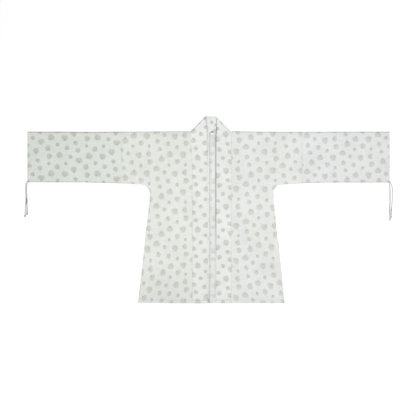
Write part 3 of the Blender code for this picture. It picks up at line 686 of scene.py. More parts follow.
def printedCloth(name, looks, inside=False):
    # thin printed cloth: ground with clouds and slubs, leaves in two depths of ink, a fine weave in relief
    material, tree, shader = newMaterial(name + ("Inside" if inside else "Outside"))
    place = addNode(tree, "ShaderNodeUVMap", uv_map="cloth").outputs["UV"]
    sizeX, sizeY = looks["repeat"]
    mapping = addNode(tree, "ShaderNodeMapping", {"Vector": place, "Location": (*looks["shift"], 0),
                      "Scale": (looks["turned"] / sizeX, -looks["turned"] / sizeY, 1)})
    leaves = addGroup(tree, "leafPrint", {"Place": mapping.outputs["Vector"]})
    threads = addGroup(tree, "clothWeave", {"Place": place})
    strength = looks["ink"] * (inkLooks["inside"] if inside else 1.0)
    tint = mixed(tree, leaves["Bud"], inkLooks["leaf"], inkLooks["bud"])
    tint = mixed(tree, maths(tree, "MULTIPLY", leaves["Ink"], inkLooks["hold"] * strength), white, tint)
    deep = maths(tree, "MULTIPLY", leaves["Depth"], inkLooks["depth"] * strength)
    tint = mixed(tree, deep, tint, inkLooks["deep"])
    tint = mixed(tree, maths(tree, "MULTIPLY", leaves["Vein"], inkLooks["vein"]), tint, white)
    # painted shade: the shade and the dark line along each edge that every point carries darken the ground
    values = {key.capitalize(): pointValue(tree, key) for key in clothValues}
    values.update({"Place": place, "Line width": inkLooks["lineWidth"], "Cloud": inkLooks["cloud"]})
    tone = addGroup(tree, "cloudsAndPaintedShade", values)["Tone"]
    slubs = clothSurface["slubs"]
    streaks = softRange(tree, threads["Slub"], *slubs, 1 - inkLooks["slub"], 1 + inkLooks["slub"])
    light = vectorMaths(tree, "MULTIPLY", linear(*looks["ground"])[:3],
                        maths(tree, "MULTIPLY", tone, streaks))
    setInputs(tree, shader, {
        "Base Color": vectorMaths(tree, "MULTIPLY", light, tint),
        "Roughness": softRange(tree, threads["Slub"], *slubs, *clothSurface["printedRoughness"]),
        "Normal": threadRelief(tree, threads["Height"], clothSurface["printedRelief"]),
        "Specular IOR Level": clothSurface["specular"],
        "Sheen Weight": clothSurface["sheen"],
        "Sheen Roughness": clothSurface["sheenRoughness"],
    })
    return material


def plainCloth(name, colour, dark):
    # an unprinted tape, cord or thread: threads in relief, and a darker tone where "edge" is low, which on
    # a tie is painted shade
    material, tree, shader = newMaterial(name)
    place = addNode(tree, "ShaderNodeUVMap", uv_map="cloth").outputs["UV"]
    threads = addGroup(tree, "clothWeave", {"Place": place})
    mix = mixed(tree, pointValue(tree, "edge"), linear(*dark), linear(*colour))
    tone = softRange(tree, threads["Slub"], *clothSurface["slubs"], *clothSurface["plainStreaks"])
    setInputs(tree, shader, {
        "Base Color": vectorMaths(tree, "MULTIPLY", mix, tone),
        "Normal": threadRelief(tree, threads["Height"], clothSurface["plainRelief"]),
        "Roughness": clothSurface["plainRoughness"],
    })
    return material


clothMaterials = {name: [printedCloth(name, looks), printedCloth(name, looks, True)]
                  for name, looks in clothLooks.items()}
print("materials ready")


# Stitches, one by one: length along the seam and the gap between two, thickness of the thread, how high it
# stands in the middle and how deep both ends go into the cloth
stitch = {
    "long": 0.0028, "gap": 0.0013, "thread": 0.00042, "rise": 0.00016, "sink": 0.00022, "around": 6,
    "press": 0.0001,            # underneath, the table flattens the thread this far below the cloth
    # shares of a stitch, and how thick the thread shows there
    "rings": [(0.0, 0.1), (0.14, 0.8), (0.5, 1.0), (0.86, 0.8), (1.0, 0.1)],
    "colour": (232, 234, 230), "dark": (200, 203, 196),
}
threadMaterial = plainCloth("sewingThread", stitch["colour"], stitch["dark"])


def lineWhere(points, field):   # where a value over a grid passes zero, found down every column
    order = [np.argsort(column) for column in field.T]
    return np.array([[np.interp(0, field[rows, index], points[rows, index, axis]) for axis in range(3)]
                     for index, rows in enumerate(order)])


def sew(name, lines):
    # rows of short threads along lines on the cloth, each with the side that it shows on: 1 up, -1 down. A
    # thread is a tube whose middle rises and sinks as one minus the fourth power of the way from halfway
    places, ups = [], []
    ringAt, size = np.transpose(stitch["rings"])
    for line, up in lines:
        length = stepLengths(line).sum()
        count = int((length - stitch["long"]) / (stitch["long"] + stitch["gap"]))
        starts = (np.arange(count) + 0.5) * length / count - stitch["long"] / 2
        share = (starts[:, None] + stitch["long"] * ringAt) / length
        places.append(pathAt(line, share.ravel()).reshape(*share.shape, 3))
        ups.append(np.full(count, up))
    middle, up = np.concatenate(places), np.concatenate(ups)[:, None]
    run = middle[:, -1] - middle[:, 0]
    side = np.stack([run[:, 1], -run[:, 0], 0 * run[:, 0]], axis=1) / np.linalg.norm(run, axis=1)[:, None]
    arch = (stitch["rise"] + stitch["sink"]) * (1 - (2 * ringAt - 1) ** 4) - stitch["sink"]
    middle = middle + np.stack([0 * arch, 0 * arch, arch], axis=-1) * up[:, :, None]
    rings, around = len(ringAt), stitch["around"]
    turn = np.arange(around) * 2 * math.pi / around
    wide = size[:, None] * np.cos(turn) * stitch["thread"] / 2
    thick = size[:, None] * np.sin(turn) * stitch["thread"] / 2
    points = middle[:, :, None, :] + side[:, None, None, :] * wide[None, :, :, None]
    points[..., 2] = np.maximum(points[..., 2] + thick[None], -stitch["press"])
    points = points.reshape(-1, 3)
    tube, last = tubeCells(rings, around), (rings - 1) * around
    cells = []
    for start in range(0, len(points), rings * around):
        cells += (tube + start).tolist()
        cells += [list(range(end, end + around)) for end in (start, start + last)]
    mesh = newMesh(name, points, cells, points[:, :2], {"edge": np.ones(len(points))}, closed=True)
    mesh.materials.append(threadMaterial)
    return finishPiece(addObject(name, mesh), [])


# The four free ends of the drawstrings
ties = {
    "width": 0.0044, "thickness": 0.0032, "step": 0.0025, "around": 12,
    "clothStep": 0.0009,   # across the cloth from one column to the next
    # how far the first end goes into the casing and its size halfway there, its size where it comes out,
    # and the lengths over which it grows from there and rounds off at the tip
    "intoCasing": 0.0036, "neckSize": 0.8, "outSize": 0.75, "outLength": 0.003,
    "tip": 0.004, "tipSize": 0.02,
    "leastRise": 0.0006, "clear": 0.0001,    # of the middle over the floor, and what is added to it
    "knot": {"fromEnd": 0.008, "halfLength": 0.0032, "swell": 0.55, "thicker": 0.5},
    # the tie's own colour, and the dark that its painted shade goes towards
    "colour": (198, 201, 196), "dark": (78, 81, 78),
    # waypoints of the middle from the cuff down; twists, and dark places of painted shade, as share, half
    # length, amount
    "right_cuff_tie_front": {
        "route": [
            (-0.9185, -0.2495), (-0.9213, -0.2528), (-0.9233, -0.2557), (-0.9248, -0.2592),
            (-0.9258, -0.264), (-0.9264, -0.271), (-0.9266, -0.28), (-0.9265, -0.29),
            (-0.9261, -0.302), (-0.9255, -0.318), (-0.9249, -0.333), (-0.9246, -0.347),
            (-0.9252, -0.361), (-0.9266, -0.376), (-0.9279, -0.391), (-0.9287, -0.406),
            (-0.9293, -0.418), (-0.9298, -0.429),
        ],
        "twists": [(0.1, 0.1, 80), (0.55, 0.08, 70)],
        "dark": [(0.57, 0.09, 0.85), (0.97, 0.05, 0.9)],
    },
    "right_cuff_tie_back": {
        "route": [
            (-0.9157, -0.2547), (-0.918, -0.2592), (-0.9196, -0.2627), (-0.9208, -0.2668),
            (-0.9215, -0.272), (-0.9219, -0.279), (-0.922, -0.288), (-0.9216, -0.302),
            (-0.921, -0.318), (-0.9204, -0.333), (-0.9201, -0.347), (-0.9198, -0.361),
            (-0.9194, -0.375), (-0.9192, -0.389), (-0.9193, -0.403), (-0.9196, -0.413),
            (-0.9199, -0.4195),
        ],
        "twists": [(0.3, 0.1, 60), (0.78, 0.16, 85)],
        "dark": [(0.57, 0.08, 0.8), (0.85, 0.12, 1.3)],
    },
    "left_cuff_tie_front": {
        "route": [
            (0.8846, -0.2519), (0.888, -0.2561), (0.8905, -0.2601), (0.8932, -0.266),
            (0.8956, -0.273), (0.8975, -0.281), (0.8987, -0.289), (0.8994, -0.296),
            (0.8994, -0.312), (0.899, -0.328), (0.8974, -0.344), (0.8961, -0.36),
            (0.8946, -0.376), (0.8936, -0.392), (0.893, -0.408), (0.8926, -0.422),
            (0.8922, -0.433),
        ],
        "twists": [(0.08, 0.1, 80), (0.42, 0.1, 60), (0.7, 0.06, 70)],
        "dark": [(0.0, 0.05, 0.9), (0.78, 0.055, 0.6)],
    },
    "left_cuff_tie_back": {
        "route": [
            (0.8804, -0.2545), (0.882, -0.26), (0.8842, -0.269), (0.8857, -0.279),
            (0.8864, -0.293), (0.8866, -0.308), (0.8866, -0.323), (0.8864, -0.338),
            (0.8861, -0.353), (0.8859, -0.368), (0.8858, -0.384), (0.8858, -0.4),
            (0.886, -0.415), (0.8864, -0.429), (0.8867, -0.44), (0.8868, -0.446),
        ],
        "twists": [(0.45, 0.12, 70), (0.88, 0.1, 85)],
        "dark": [(0.3, 0.12, 0.45), (0.43, 0.08, 0.6), (0.62, 0.16, 0.35), (0.86, 0.16, 0.9)],
    },
}


def smoothRoute(points, spacing, between=12):
    # even steps on a curve through every waypoint: a cubic between two points, leaning on both neighbours
    points = np.array(points)
    padded = np.vstack([2 * points[0] - points[1], points, 2 * points[-1] - points[-2]])
    share = np.linspace(0, 1, between, endpoint=False)[:, None]
    fine = []
    for a, b, c, d in zip(padded[:-3], padded[1:-2], padded[2:-1], padded[3:]):
        fine.append(0.5 * (2 * b + (c - a) * share + (2 * a - 5 * b + 4 * c - d) * share ** 2
                           + (3 * b - a - 3 * c + d) * share ** 3))
    fine = np.vstack(fine + [points[-1:]])
    length = stepLengths(fine).sum()
    return pathAt(fine, np.linspace(0, 1, math.ceil(length / spacing) + 1)), length


def bumpsAlong(share, rows):   # the sum of soft bells at the shares that the rows name
    return sum(amount * softBump(share - place, width) for place, width, amount in rows)


def makeTie(name, look):
    # an oval section carried along the route: it turns about the route where the tie is twisted, rests on
    # the floor with its lowest point, and swells to a knot near the end. The first end runs on into the
    # casing, and both ends close to a point
    route, length = smoothRoute(look["route"], ties["step"])
    share = np.linspace(0, 1, len(route))
    run = np.gradient(route, axis=0)
    run /= np.linalg.norm(run, axis=1)[:, None]
    side = np.stack([run[:, 1], -run[:, 0], np.zeros(len(run))], axis=1)
    up = np.array([0.0, 0.0, 1.0])
    twist = np.radians(bumpsAlong(share, look["twists"]))
    fromEnd = (1 - share) * length
    knot = ties["knot"]
    knotted = softBump(fromEnd - knot["fromEnd"], knot["halfLength"])
    size = (1 + knot["swell"] * knotted) * np.sqrt(np.clip(fromEnd / ties["tip"], 0, 1))
    grown = np.clip(share * length / ties["outLength"], 0, 1)
    size = size * (ties["outSize"] + (1 - ties["outSize"]) * grown)
    size[-1] = ties["tipSize"]
    halfWide = size * ties["width"] / 2
    halfThick = size * ties["thickness"] / 2 * (1 + knot["thicker"] * knotted)
    middle = np.sqrt((halfWide * np.sin(twist)) ** 2 + (halfThick * np.cos(twist)) ** 2)
    middle = np.maximum(middle, ties["leastRise"]) + ties["clear"]
    centre = np.concatenate([route, middle[:, None]], axis=1)
    turn = np.linspace(0, 2 * math.pi, ties["around"] + 1)[:-1]
    wide = np.cos(turn)[None, :] * halfWide[:, None]
    thick = np.sin(turn)[None, :] * halfThick[:, None]
    along = wide * np.cos(twist)[:, None] - thick * np.sin(twist)[:, None]
    above = wide * np.sin(twist)[:, None] + thick * np.cos(twist)[:, None]
    grid = centre[:, None, :] + side[:, None, :] * along[..., None] + up * above[..., None]
    back = np.append(run[0], 0.0) * ties["intoCasing"]
    inside = (grid[:1] - centre[0]) * ties["neckSize"] + centre[0] - back / 2
    row = (1, *grid.shape[1:])
    start, finish = np.broadcast_to(centre[0] - back, row), np.broadcast_to(centre[-1], row)
    grid = np.concatenate([start, inside, grid, finish])
    rings, around = grid.shape[:2]
    places = np.stack([np.tile(np.arange(around) * ties["clothStep"], rings),
                       np.repeat(np.linspace(0, length, rings), around)], axis=1)
    # painted shade at the dark places, carried to the material as "edge"
    unshaded = 1 - np.clip(bumpsAlong(share, look["dark"]), 0, 1)
    unshaded = np.repeat(np.concatenate([unshaded[:1], unshaded[:1], unshaded, unshaded[-1:]]), around)
    cells = tubeCells(rings, around)
    mesh = newMesh(name, grid.reshape(-1, 3), cells, places, {"edge": unshaded}, weld=1e-6, closed=True)
    mesh.materials.append(tieMaterial)
    piece = finishPiece(addObject(name + "_cord", mesh), [name])


tieMaterial = plainCloth("tieCloth", ties["colour"], ties["dark"])
tieNames = [name for name in ties if "_tie_" in name]
for name in tieNames:
    makeTie(name, ties[name])
print("drawstring ends ready")


sleeve = {
    "stepAlong": 0.0045, "stepAcross": 0.0045, "stepBack": 0.012,
    "casingRise": 0.00055, "casingStep": 0.0008, "casingGroove": 0.00045, "grooveWidth": 0.0011,
    "casingCalm": 0.01,                       # creases die away over this distance before the casing
    "cordRise": 0.0006, "cordWidth": 0.0026,
    "seamDip": 0.0006, "seamWidth": 0.0016, "seamLineIn": 0.002,
    # the allowance under a seam: its width, how high it shows, and how softly it ends and begins
    "allowance": 0.01, "allowanceRise": 0.0003, "allowanceEnd": 0.0025, "allowanceStart": 0.002,
    "stitchIn": 0.0016,                        # the casing's stitches run this far in from its edge
    # how dark the painted shade line along each edge is
    "lines": {"right": {"top": 0.4, "under": 0.2, "cuff": 0.14, "seam": 0.03},
              "left": {"top": 0.3, "under": 0.2, "cuff": 0.04, "seam": 0.03}},
    "shade": 0.03, "shadeReach": 0.032,       # soft shade under the top fold
    "casingShade": {"right": 0.07, "left": 0.03}, "casingShadeWidth": 0.0025,
    "rowRise": 0.016, "rowLevel": 0.66,   # slope of the print's rows up to the cuff, and where they start
    # how far the under fold lies above its straight line at places across, and how far down that sets in
    # and over what distance; how far the cuff lies past its own line, and the length that moves with it
    "underRise": [(-0.92, 0.0), (-0.836, 0.0005), (-0.736, 0.0019), (-0.636, 0.0027), (-0.542, 0.0017),
                  (-0.449, 0.0), (0.449, 0.0), (0.475, 0.0018), (0.543, 0.0027), (0.638, 0.0022),
                  (0.738, 0.0002), (0.817, -0.0007), (0.883, -0.001)],
    "riseFrom": 0.12, "riseOver": 0.12,
    "cuffOut": {"right": 0.0, "left": 0.0012}, "cuffOutOver": 0.15,
    # painted shade along the sleeve, from the seam to the cuff; below 0 it is painted light
    "paintedShadeAlong": {"right": [(0.449, -0.024), (0.56, -0.014), (0.66, 0.0), (0.9, -0.004)],
              "left": [(0.449, 0.0), (0.74, 0.0), (0.8, 0.02), (0.88, 0.026)]},
    # painted shade where the drawstring comes out of the left casing, for the cloth drawn together there
    "puckerShade": {"path": [(0.8699, -0.2469), (0.884, -0.253)], "width": 0.0028, "shade": 0.2},
}
# More samples beside a marked place, and the least distance between two
samples = {"shifts": (-0.004, -0.002, -0.001, 0, 0.001, 0.002, 0.004), "least": 0.0003}


def samplesWith(low, high, step, marks):   # even samples of a length with more of them around marked places
    even = np.linspace(low, high, max(2, math.ceil((high - low) / step)) + 1)
    near = np.add.outer(marks, samples["shifts"]).ravel()
    merged = np.unique(np.concatenate([even, near[(near > low) & (near < high)]]))
    return merged[np.concatenate([[True], np.diff(merged) > samples["least"]])]


def seamRelief(distance):
    # beside a seam the cloth dips to the stitches, and the allowance under it shows as a low step
    dip = -sleeve["seamDip"] * softBump(distance, sleeve["seamWidth"])
    under = smoothStep((sleeve["allowance"] - distance) / sleeve["allowanceEnd"])
    return dip + sleeve["allowanceRise"] * under * smoothStep(distance / sleeve["allowanceStart"])


def makeSleeve(side):
    # two grids of x along the sleeve and y across it, front and back, joined by half turns at both folds
    sign, lines = sides[side], sleeve["lines"][side]
    seam, cuff = cut["sleeveSeam"] + layers["seamGap"] / 2, cut["cuff"][side]
    casing = cuff - cut["casing"]
    marks = [casing, casing + cut["casing"] / 2, seam + sleeve["allowance"]]
    along = samplesWith(seam, cuff, sleeve["stepAlong"], marks)
    depth = np.interp(along, [seam, cuff], [cut["sleeveDepthSeam"], cut["sleeveDepthCuff"]])
    radius = layers["foldRadius"]

    def risenAt(x, y):   # how far a point moves up with the under fold
        return tableAt(x, sleeve["underRise"]) * smoothStep((-y - sleeve["riseFrom"]) / sleeve["riseOver"])

    def outAt(across):   # how far a point moves out with the cuff
        return sleeve["cuffOut"][side] * smoothStep(1 - (cuff - across) / sleeve["cuffOutOver"])

    def layer(step, creases, front):
        share = np.linspace(0, 1, round(cut["sleeveDepthSeam"] / step) + 1)[None, :]
        y = -(radius + (depth[:, None] - 2 * radius) * share)
        across = np.broadcast_to(along[:, None], y.shape)
        x, toCasing = sign * across, across - casing
        edge = edgeDistance(x, y)
        height = creaseHeight(x, y, edge, creases) * smoothStep(1 - toCasing / sleeve["casingCalm"])
        # painted shade of each point: under the top fold, along the casing and along the sleeve
        soft = sleeve["shade"] * smoothStep(1 + y / sleeve["shadeReach"])
        soft = soft + sleeve["casingShade"][side] * softBump(toCasing, sleeve["casingShadeWidth"])
        soft = soft + tableAt(across, sleeve["paintedShadeAlong"][side])
        if front:
            fade, puckerShade = smoothStep(edge / layers["reliefFade"]), sleeve["puckerShade"]
            height += layers["frontTop"] + swellHeight(x, y, edge)
            height += fade * sleeve["casingRise"] * smoothStep(toCasing / sleeve["casingStep"] + 0.5)
            height -= fade * sleeve["casingGroove"] * softBump(toCasing, sleeve["grooveWidth"])
            cord = softBump(toCasing - cut["casing"] / 2, sleeve["cordWidth"])
            height += fade * sleeve["cordRise"] * cord
            height += fade * seamRelief(across - seam)
            # painted shade of the cloth drawn together by the drawstring
            crease = distanceToPath(x, y, np.array(puckerShade["path"]))
            soft = soft + puckerShade["shade"] * softBump(crease, puckerShade["width"])
        distances = [-y - radius, depth[:, None] + y - radius, cuff - across,
                     across - seam + sleeve["seamLineIn"]]
        nearest, line = nearestEdge(distances, [lines[key] for key in ("top", "under", "cuff", "seam")])
        lifted = sleeve["rowRise"] * (across - sleeve["rowLevel"])
        sag, lowered = sagAt(x, y)
        lowered = lowered - risenAt(x, y)
        points = np.stack([x + sign * outAt(across), y - lowered, height], axis=-1)
        place = np.stack([x, y - lowered - lifted if front else -y - sag - lifted], axis=-1)
        return {"points": points, "outward": (0, 0, 1 if front else -1), "place": place, "edge": nearest,
                "line": line, "shade": soft, "sewn": lineWhere(points, toCasing - sleeve["stitchIn"])}

    front = layer(sleeve["stepAcross"], frontCreases, True)
    back = layer(sleeve["stepBack"], backCreases, False)
    x, bottomY = sign * along, radius - depth
    moved = x + sign * outAt(along)
    top = np.stack([moved, -radius - sagAt(x, 0 * x)[0]], axis=1)
    bottom = np.stack([moved, bottomY + risenAt(x, bottomY)], axis=1)
    up, down = np.tile((0.0, 1.0), (len(x), 1)), np.tile((0.0, -1.0), (len(x), 1))
    rows = np.stack([0 * along, sleeve["rowRise"] * (along - sleeve["rowLevel"])], axis=1)
    patches = [front, back, foldPatch(top, up, top - rows, lines["top"], sleeve["shade"]),
               foldPatch(bottom, down, bottom - rows, lines["under"], 0.0)]
    name = side + "_sleeve"
    piece = clothPiece(name + "_cloth", patches, clothMaterials[name], [name])
    stitches = sew(name + "_stitches", [(front["sewn"], 1), (back["sewn"], -1)])


for side in sides:
    makeSleeve(side)
print("sleeves ready")


band = {
    "width": cut["bandWidth"], "step": 0.005, "stepAcross": 0.0045,
    "neckRings": 22, "foldRings": 10, "fanRings": 14, "fan": 0.06,
    "dropStart": 0.008, "dropLength": 0.07,   # below the shoulder, where the band comes down on the panels
    "settle": 0.045,                           # from the free edge, over which it takes up the swells
    "neckEase": 0.0101, "neckEaseLength": 0.05,   # how the print runs on past the neck and the folds
    "foldEase": 0.003, "foldDraw": 0.0025,
    "foldNear": 0.05, "foldPast": 0.2, "foldOver": 0.1,   # stretch of the strip that the two last work on
    "freeEase": 0.0024, "freeEaseOver": 0.05,  # how much further in the left free edge lies
    "seamRoll": 0.0008, "seamRollWidth": 0.0035,
    # line of stitches under the neck strip's top edge: how far down, the width and depth of its groove, and
    # the painted shade in it
    "pressLine": 0.011, "pressWidth": 0.0012, "pressDepth": 0.0004, "pressShade": 0.11,
    # free edge lifted off the back: from and to below the shoulder, rise, how far in from the edge
    "lift": {"right": (0.02, 0.3, 0.0008, 0.02), "left": (-0.03, 0.56, 0.003, 0.034)},
    "liftSoft": 0.12,
    # how dark the painted shade lines are: along the seam, the hem, the folds over the shoulders and the
    # strip's top at the neck, and along both free edges at places down from the shoulder
    "lines": {"seam": 0.02, "hem": 0.12, "fold": 0.14, "neck": 0.17},
    "freeLines": {"right": [(0.0, 0.22), (0.14, 0.2), (0.18, 0.07), (0.34, 0.04), (0.85, 0.03)],
                  "left": [(-0.03, 0.36), (-0.014, 0.6), (0.0, 0.6), (0.014, 0.4), (0.35, 0.42),
                           (0.5, 0.34), (0.58, 0.14), (0.85, 0.1)]},
    "hemShade": 0.16, "hemShadeWidth": 0.0025,
    # painted shade down each front, from the shoulder to the hem
    "paintedShadeAlong": {"right": [(0.0, 0.0), (0.62, 0.0), (0.72, 0.024), (0.85, 0.024)],
              "left": [(0.0, 0.026), (0.15, 0.024), (0.24, 0.0), (0.85, 0.0)]},
    # small darker places at the folds over the shoulders, and painted shade beside the left free edge: x,
    # y, size, amount
    "spots": [(-0.0341, 0.0697, 0.006, 0.24), (0.049, 0.0358, 0.0045, 0.2),
              (-0.0913, 0.006, 0.0045, 0.2), (0.0178, 0.034, 0.0048, 0.32),
              (0.0178, 0.0275, 0.0048, 0.28), (0.018, 0.0085, 0.0055, 0.16)],
}

body = {
    "step": 0.0042, "frontColumns": 78, "backColumns": 30,
    "firstRow": 0.001,          # more rows beside the sleeve seam
    "shoulderEnd": 0.0978,      # where the shoulder fold stops beside the band
    "slant": 0.012,             # height over which the front edge runs in to the band seam
    "neckDrop": 0.004,          # back neck seam below the shoulder fold
    "neckCorner": 0.004, "neckRun": 0.1,   # past the shoulder fold, where rows reach the neck and leave it
    "fanFrom": 0.1, "fanTo": 0.2,   # stretch of the underarm and side line that the fan of rows turns about
    "fanDown": 0.33,            # where rows lie level again, below the shoulder
    "hemTurn": 0.015, "hemRise": 0.0003, "hemStep": 0.0015, "hemGroove": 0.0004, "hemGrooveWidth": 0.0012,
    "hemCalm": 0.02, "hemLeft": 0.3,   # creases die away over this distance, down to nearly this share
    # how dark the painted shade line along each edge is; centre is the one along the centre-back seam
    "lines": {"right": {"top": 0.2, "side": 0.07, "hem": 0.05, "centre": 0.28},
              "left": {"top": 0.26, "side": 0.03, "hem": 0.05, "centre": 0.28}},
    "centreLine": [(0.0, 0.4), (0.07, 1.0)],   # share of the centre-back line at places down
    "shade": {"right": 0.07, "left": 0.035}, "shadeReach": 0.04, "hemShade": 0.055, "hemShadeWidth": 0.0035,
    # in the gap between the bands, the shade of the left free edge and the light beside it, which fades in
    # and out again on the way down
    "gapShade": 0.07, "gapShadeWidth": 0.004,
    "gapLight": 0.09, "gapLightIn": 0.0115, "gapLightWidth": 0.006,
    "gapLit": {"from": 0.01, "over": 0.03, "to": 0.42, "away": 0.08},
    # darker places in the gap below the neck, the first three painted shade beside the left free edge: x,
    # y, size, amount
    "gapSpots": [(0.0182, -0.027, 0.0055, 0.18), (0.0182, -0.037, 0.006, 0.26),
                 (0.0182, -0.0455, 0.005, 0.2), (0.0055, -0.0355, 0.011, 0.12)],
    # the skirt hangs off the grain: its print slopes down towards the side and draws in. Slope, place
    # across that stays level, where it starts below the shoulder and over what length it grows
    "droop": {"right": (0.2, 0.205, 0.5, 0.27), "left": (0.19, 0.198, 0.42, 0.28)},
    "drawIn": 0.06, "drawFrom": 0.1,
    "yokeShade": 0.02, "yokeReach": 0.18, "yokeOver": 0.12,
    "lowShade": {"right": 0.068, "left": 0.0}, "lowFrom": 0.08, "lowOver": 0.14,
}


def printPlace(x, y, side):
    # where a point of the panel lies on the print: level above, sloped and drawn in towards the hem
    slope, level, start, length = body["droop"][side]
    grown = smoothStep((-y - start) / length)
    inward = body["drawIn"] * grown * (np.abs(x) - body["drawFrom"]) * np.sign(x)
    return np.stack([x + inward, y + slope * grown * (np.abs(x) - level)], axis=-1)


def makeBody(side):
    # rows fan out from the underarm: their inner ends run along the shoulder and down the front edge (the
    # back's along the neck and down the centre), their outer ends along the underarm and down the side
    sign, lines, shade = sides[side], body["lines"][side], body["shade"][side]
    radius, gap = layers["foldRadius"], layers["seamGap"] / 2
    seam, length = cut["sleeveSeam"] - gap, cut["length"]
    shoulder = seam - body["shoulderEnd"]
    total = shoulder + length
    marks = [body["firstRow"], sleeve["allowance"], total - body["hemTurn"]]
    inner = np.unique(np.append(samplesWith(0, total, body["step"], marks), shoulder))
    outline = roundedPath([(seam, *cut["underarm"][side][0][1:])] + cut["underarm"][side][1:])
    outlineLength = stepLengths(outline).sum()
    level = shoulder + body["fanDown"]
    outer = np.interp(inner, [0, body["fanFrom"], level, total],
                      [0, body["fanFrom"], body["fanTo"], outlineLength])
    fold = pathAt(outline, outer / outlineLength)
    normals = outsideNormals(fold)
    flatOuter = fold - normals * radius
    frontEdge = cut["bandSeam"] + gap
    centre = sign * cut["centreBack"] + gap
    neck, slant, shoulderEnd = body["neckDrop"] + gap, body["slant"], body["shoulderEnd"]
    bends = [0, shoulder, shoulder + slant, total]
    frontInner = np.stack([np.interp(inner, bends, [seam, shoulderEnd, frontEdge, frontEdge]),
                           np.interp(inner, bends, [radius, radius, slant, length])], axis=1)
    bends = [0, shoulder, shoulder + body["neckCorner"], shoulder + body["neckRun"]]
    backInner = np.stack([
        np.interp(inner, bends + [total], [seam, shoulderEnd, shoulderEnd, centre, centre]),
        np.interp(inner, bends + [level, total], [radius, radius, neck, neck, body["fanDown"], length]),
    ], axis=1)

    def layer(innerEnds, columns, creases, front):
        share = np.linspace(0, 1, columns + 1)[None, :, None]
        flat = (innerEnds[:, None, :] * (1 - share) + flatOuter[:, None, :] * share) * (sign, -1)
        x, y = flat[..., 0], flat[..., 1]
        edge, toHem = edgeDistance(x, y), length + y
        height = creaseHeight(x, y, edge, creases) * smoothStep(toHem / body["hemCalm"] + body["hemLeft"])
        # painted shade of each point: under the shoulder fold, over the yoke, low on the skirt and along
        # the hem
        soft = shade * smoothStep(1 + y / body["shadeReach"])
        soft = soft + body["yokeShade"] * smoothStep(1 + (y + body["yokeReach"]) / body["yokeOver"])
        soft = soft + body["lowShade"][side] * smoothStep(1 - (toHem - body["lowFrom"]) / body["lowOver"])
        soft = soft + body["hemShade"] * softBump(toHem - body["hemTurn"], body["hemShadeWidth"])
        if front:
            fade = smoothStep(edge / layers["reliefFade"])
            height += layers["frontTop"] + swellHeight(x, y, edge) + fade * seamRelief(seam - np.abs(x))
            height += fade * body["hemRise"] * smoothStep((body["hemTurn"] - toHem) / body["hemStep"] + 0.5)
            height -= fade * body["hemGroove"] * softBump(toHem - body["hemTurn"], body["hemGrooveWidth"])
            inward, inwardLine = np.abs(x) - frontEdge, 0.0
        else:
            inward = np.abs(x - cut["centreBack"])
            inwardLine = lines["centre"] * tableAt(-y, body["centreLine"])
            # in the gap: painted shade beside the left free edge, painted light further in, and darker
            # spots
            inGap = x - (cut["bandSeam"] - band["width"] - band["freeEase"])
            soft = soft + body["gapShade"] * softBump(inGap, body["gapShadeWidth"])
            lit = body["gapLit"]
            lit = smoothStep((-y - lit["from"]) / lit["over"]) * smoothStep((y + lit["to"]) / lit["away"])
            beside = softBump(inGap + body["gapLightIn"], body["gapLightWidth"])
            soft = soft - body["gapLight"] * lit * beside + spotShade(x, y, body["gapSpots"])
        distances = [-y - radius, distanceToPath(x, y, closedLines[side]) - radius, toHem, inward]
        nearest, line = nearestEdge(distances, [lines["top"], lines["side"], lines["hem"], inwardLine])
        sag, lowered = sagAt(x, y)
        x, y = asLaid(x, y, side)
        place = printPlace(x, y - lowered, side) if front else printPlace(x, y + sag, side) * (1, -1)
        points = np.stack([x, y - lowered, height], axis=-1)
        return {"points": points, "outward": (0, 0, 1 if front else -1), "place": place, "edge": nearest,
                "line": line, "shade": soft, "sewn": lineWhere(points, toHem - body["hemTurn"])}

    front = layer(frontInner, body["frontColumns"], frontCreases, True)
    back = layer(backInner, body["backColumns"], backCreases, False)
    sideLine, sideNormals = flatOuter * (sign, -1), normals * (sign, -1)
    sideLine = np.stack(asLaid(*sideLine.T, side), axis=1)
    top = frontInner[inner <= shoulder + 1e-9] * (sign, -1)
    top = top - np.stack([drawnOut(*top.T), sagAt(top[:, 0], 0.0)[0]], axis=1)
    sidePlace = printPlace(*sideLine.T, side)
    patches = [front, back, foldPatch(sideLine, sideNormals, sidePlace, lines["side"], 0.0),
               foldPatch(top, np.tile((0.0, 1.0), (len(top), 1)), top, lines["top"], shade)]
    name = side + "_body"
    piece = clothPiece(name + "_cloth", patches, clothMaterials[name], [name])
    stitches = sew(name + "_stitches", [(front["sewn"], 1), (back["sewn"], -1)])


for side in sides:
    makeBody(side)
print("body halves ready")


bandCreases = [
    (-0.06, -0.15, 0.05, 0.008, 80, 0.003, 0.00035), (-0.045, -0.33, 0.06, 0.007, 95, -0.003, -0.00035),
    (-0.065, -0.52, 0.07, 0.009, 86, 0.004, 0.0004), (-0.05, -0.7, 0.06, 0.008, 92, -0.003, 0.00035),
    (0.055, -0.21, 0.06, 0.008, 98, 0.003, -0.00035), (0.07, -0.4, 0.06, 0.007, 84, -0.003, 0.00035),
    (0.05, -0.6, 0.08, 0.009, 93, 0.004, -0.0004), (0.065, -0.77, 0.05, 0.007, 88, 0.003, 0.00035),
]


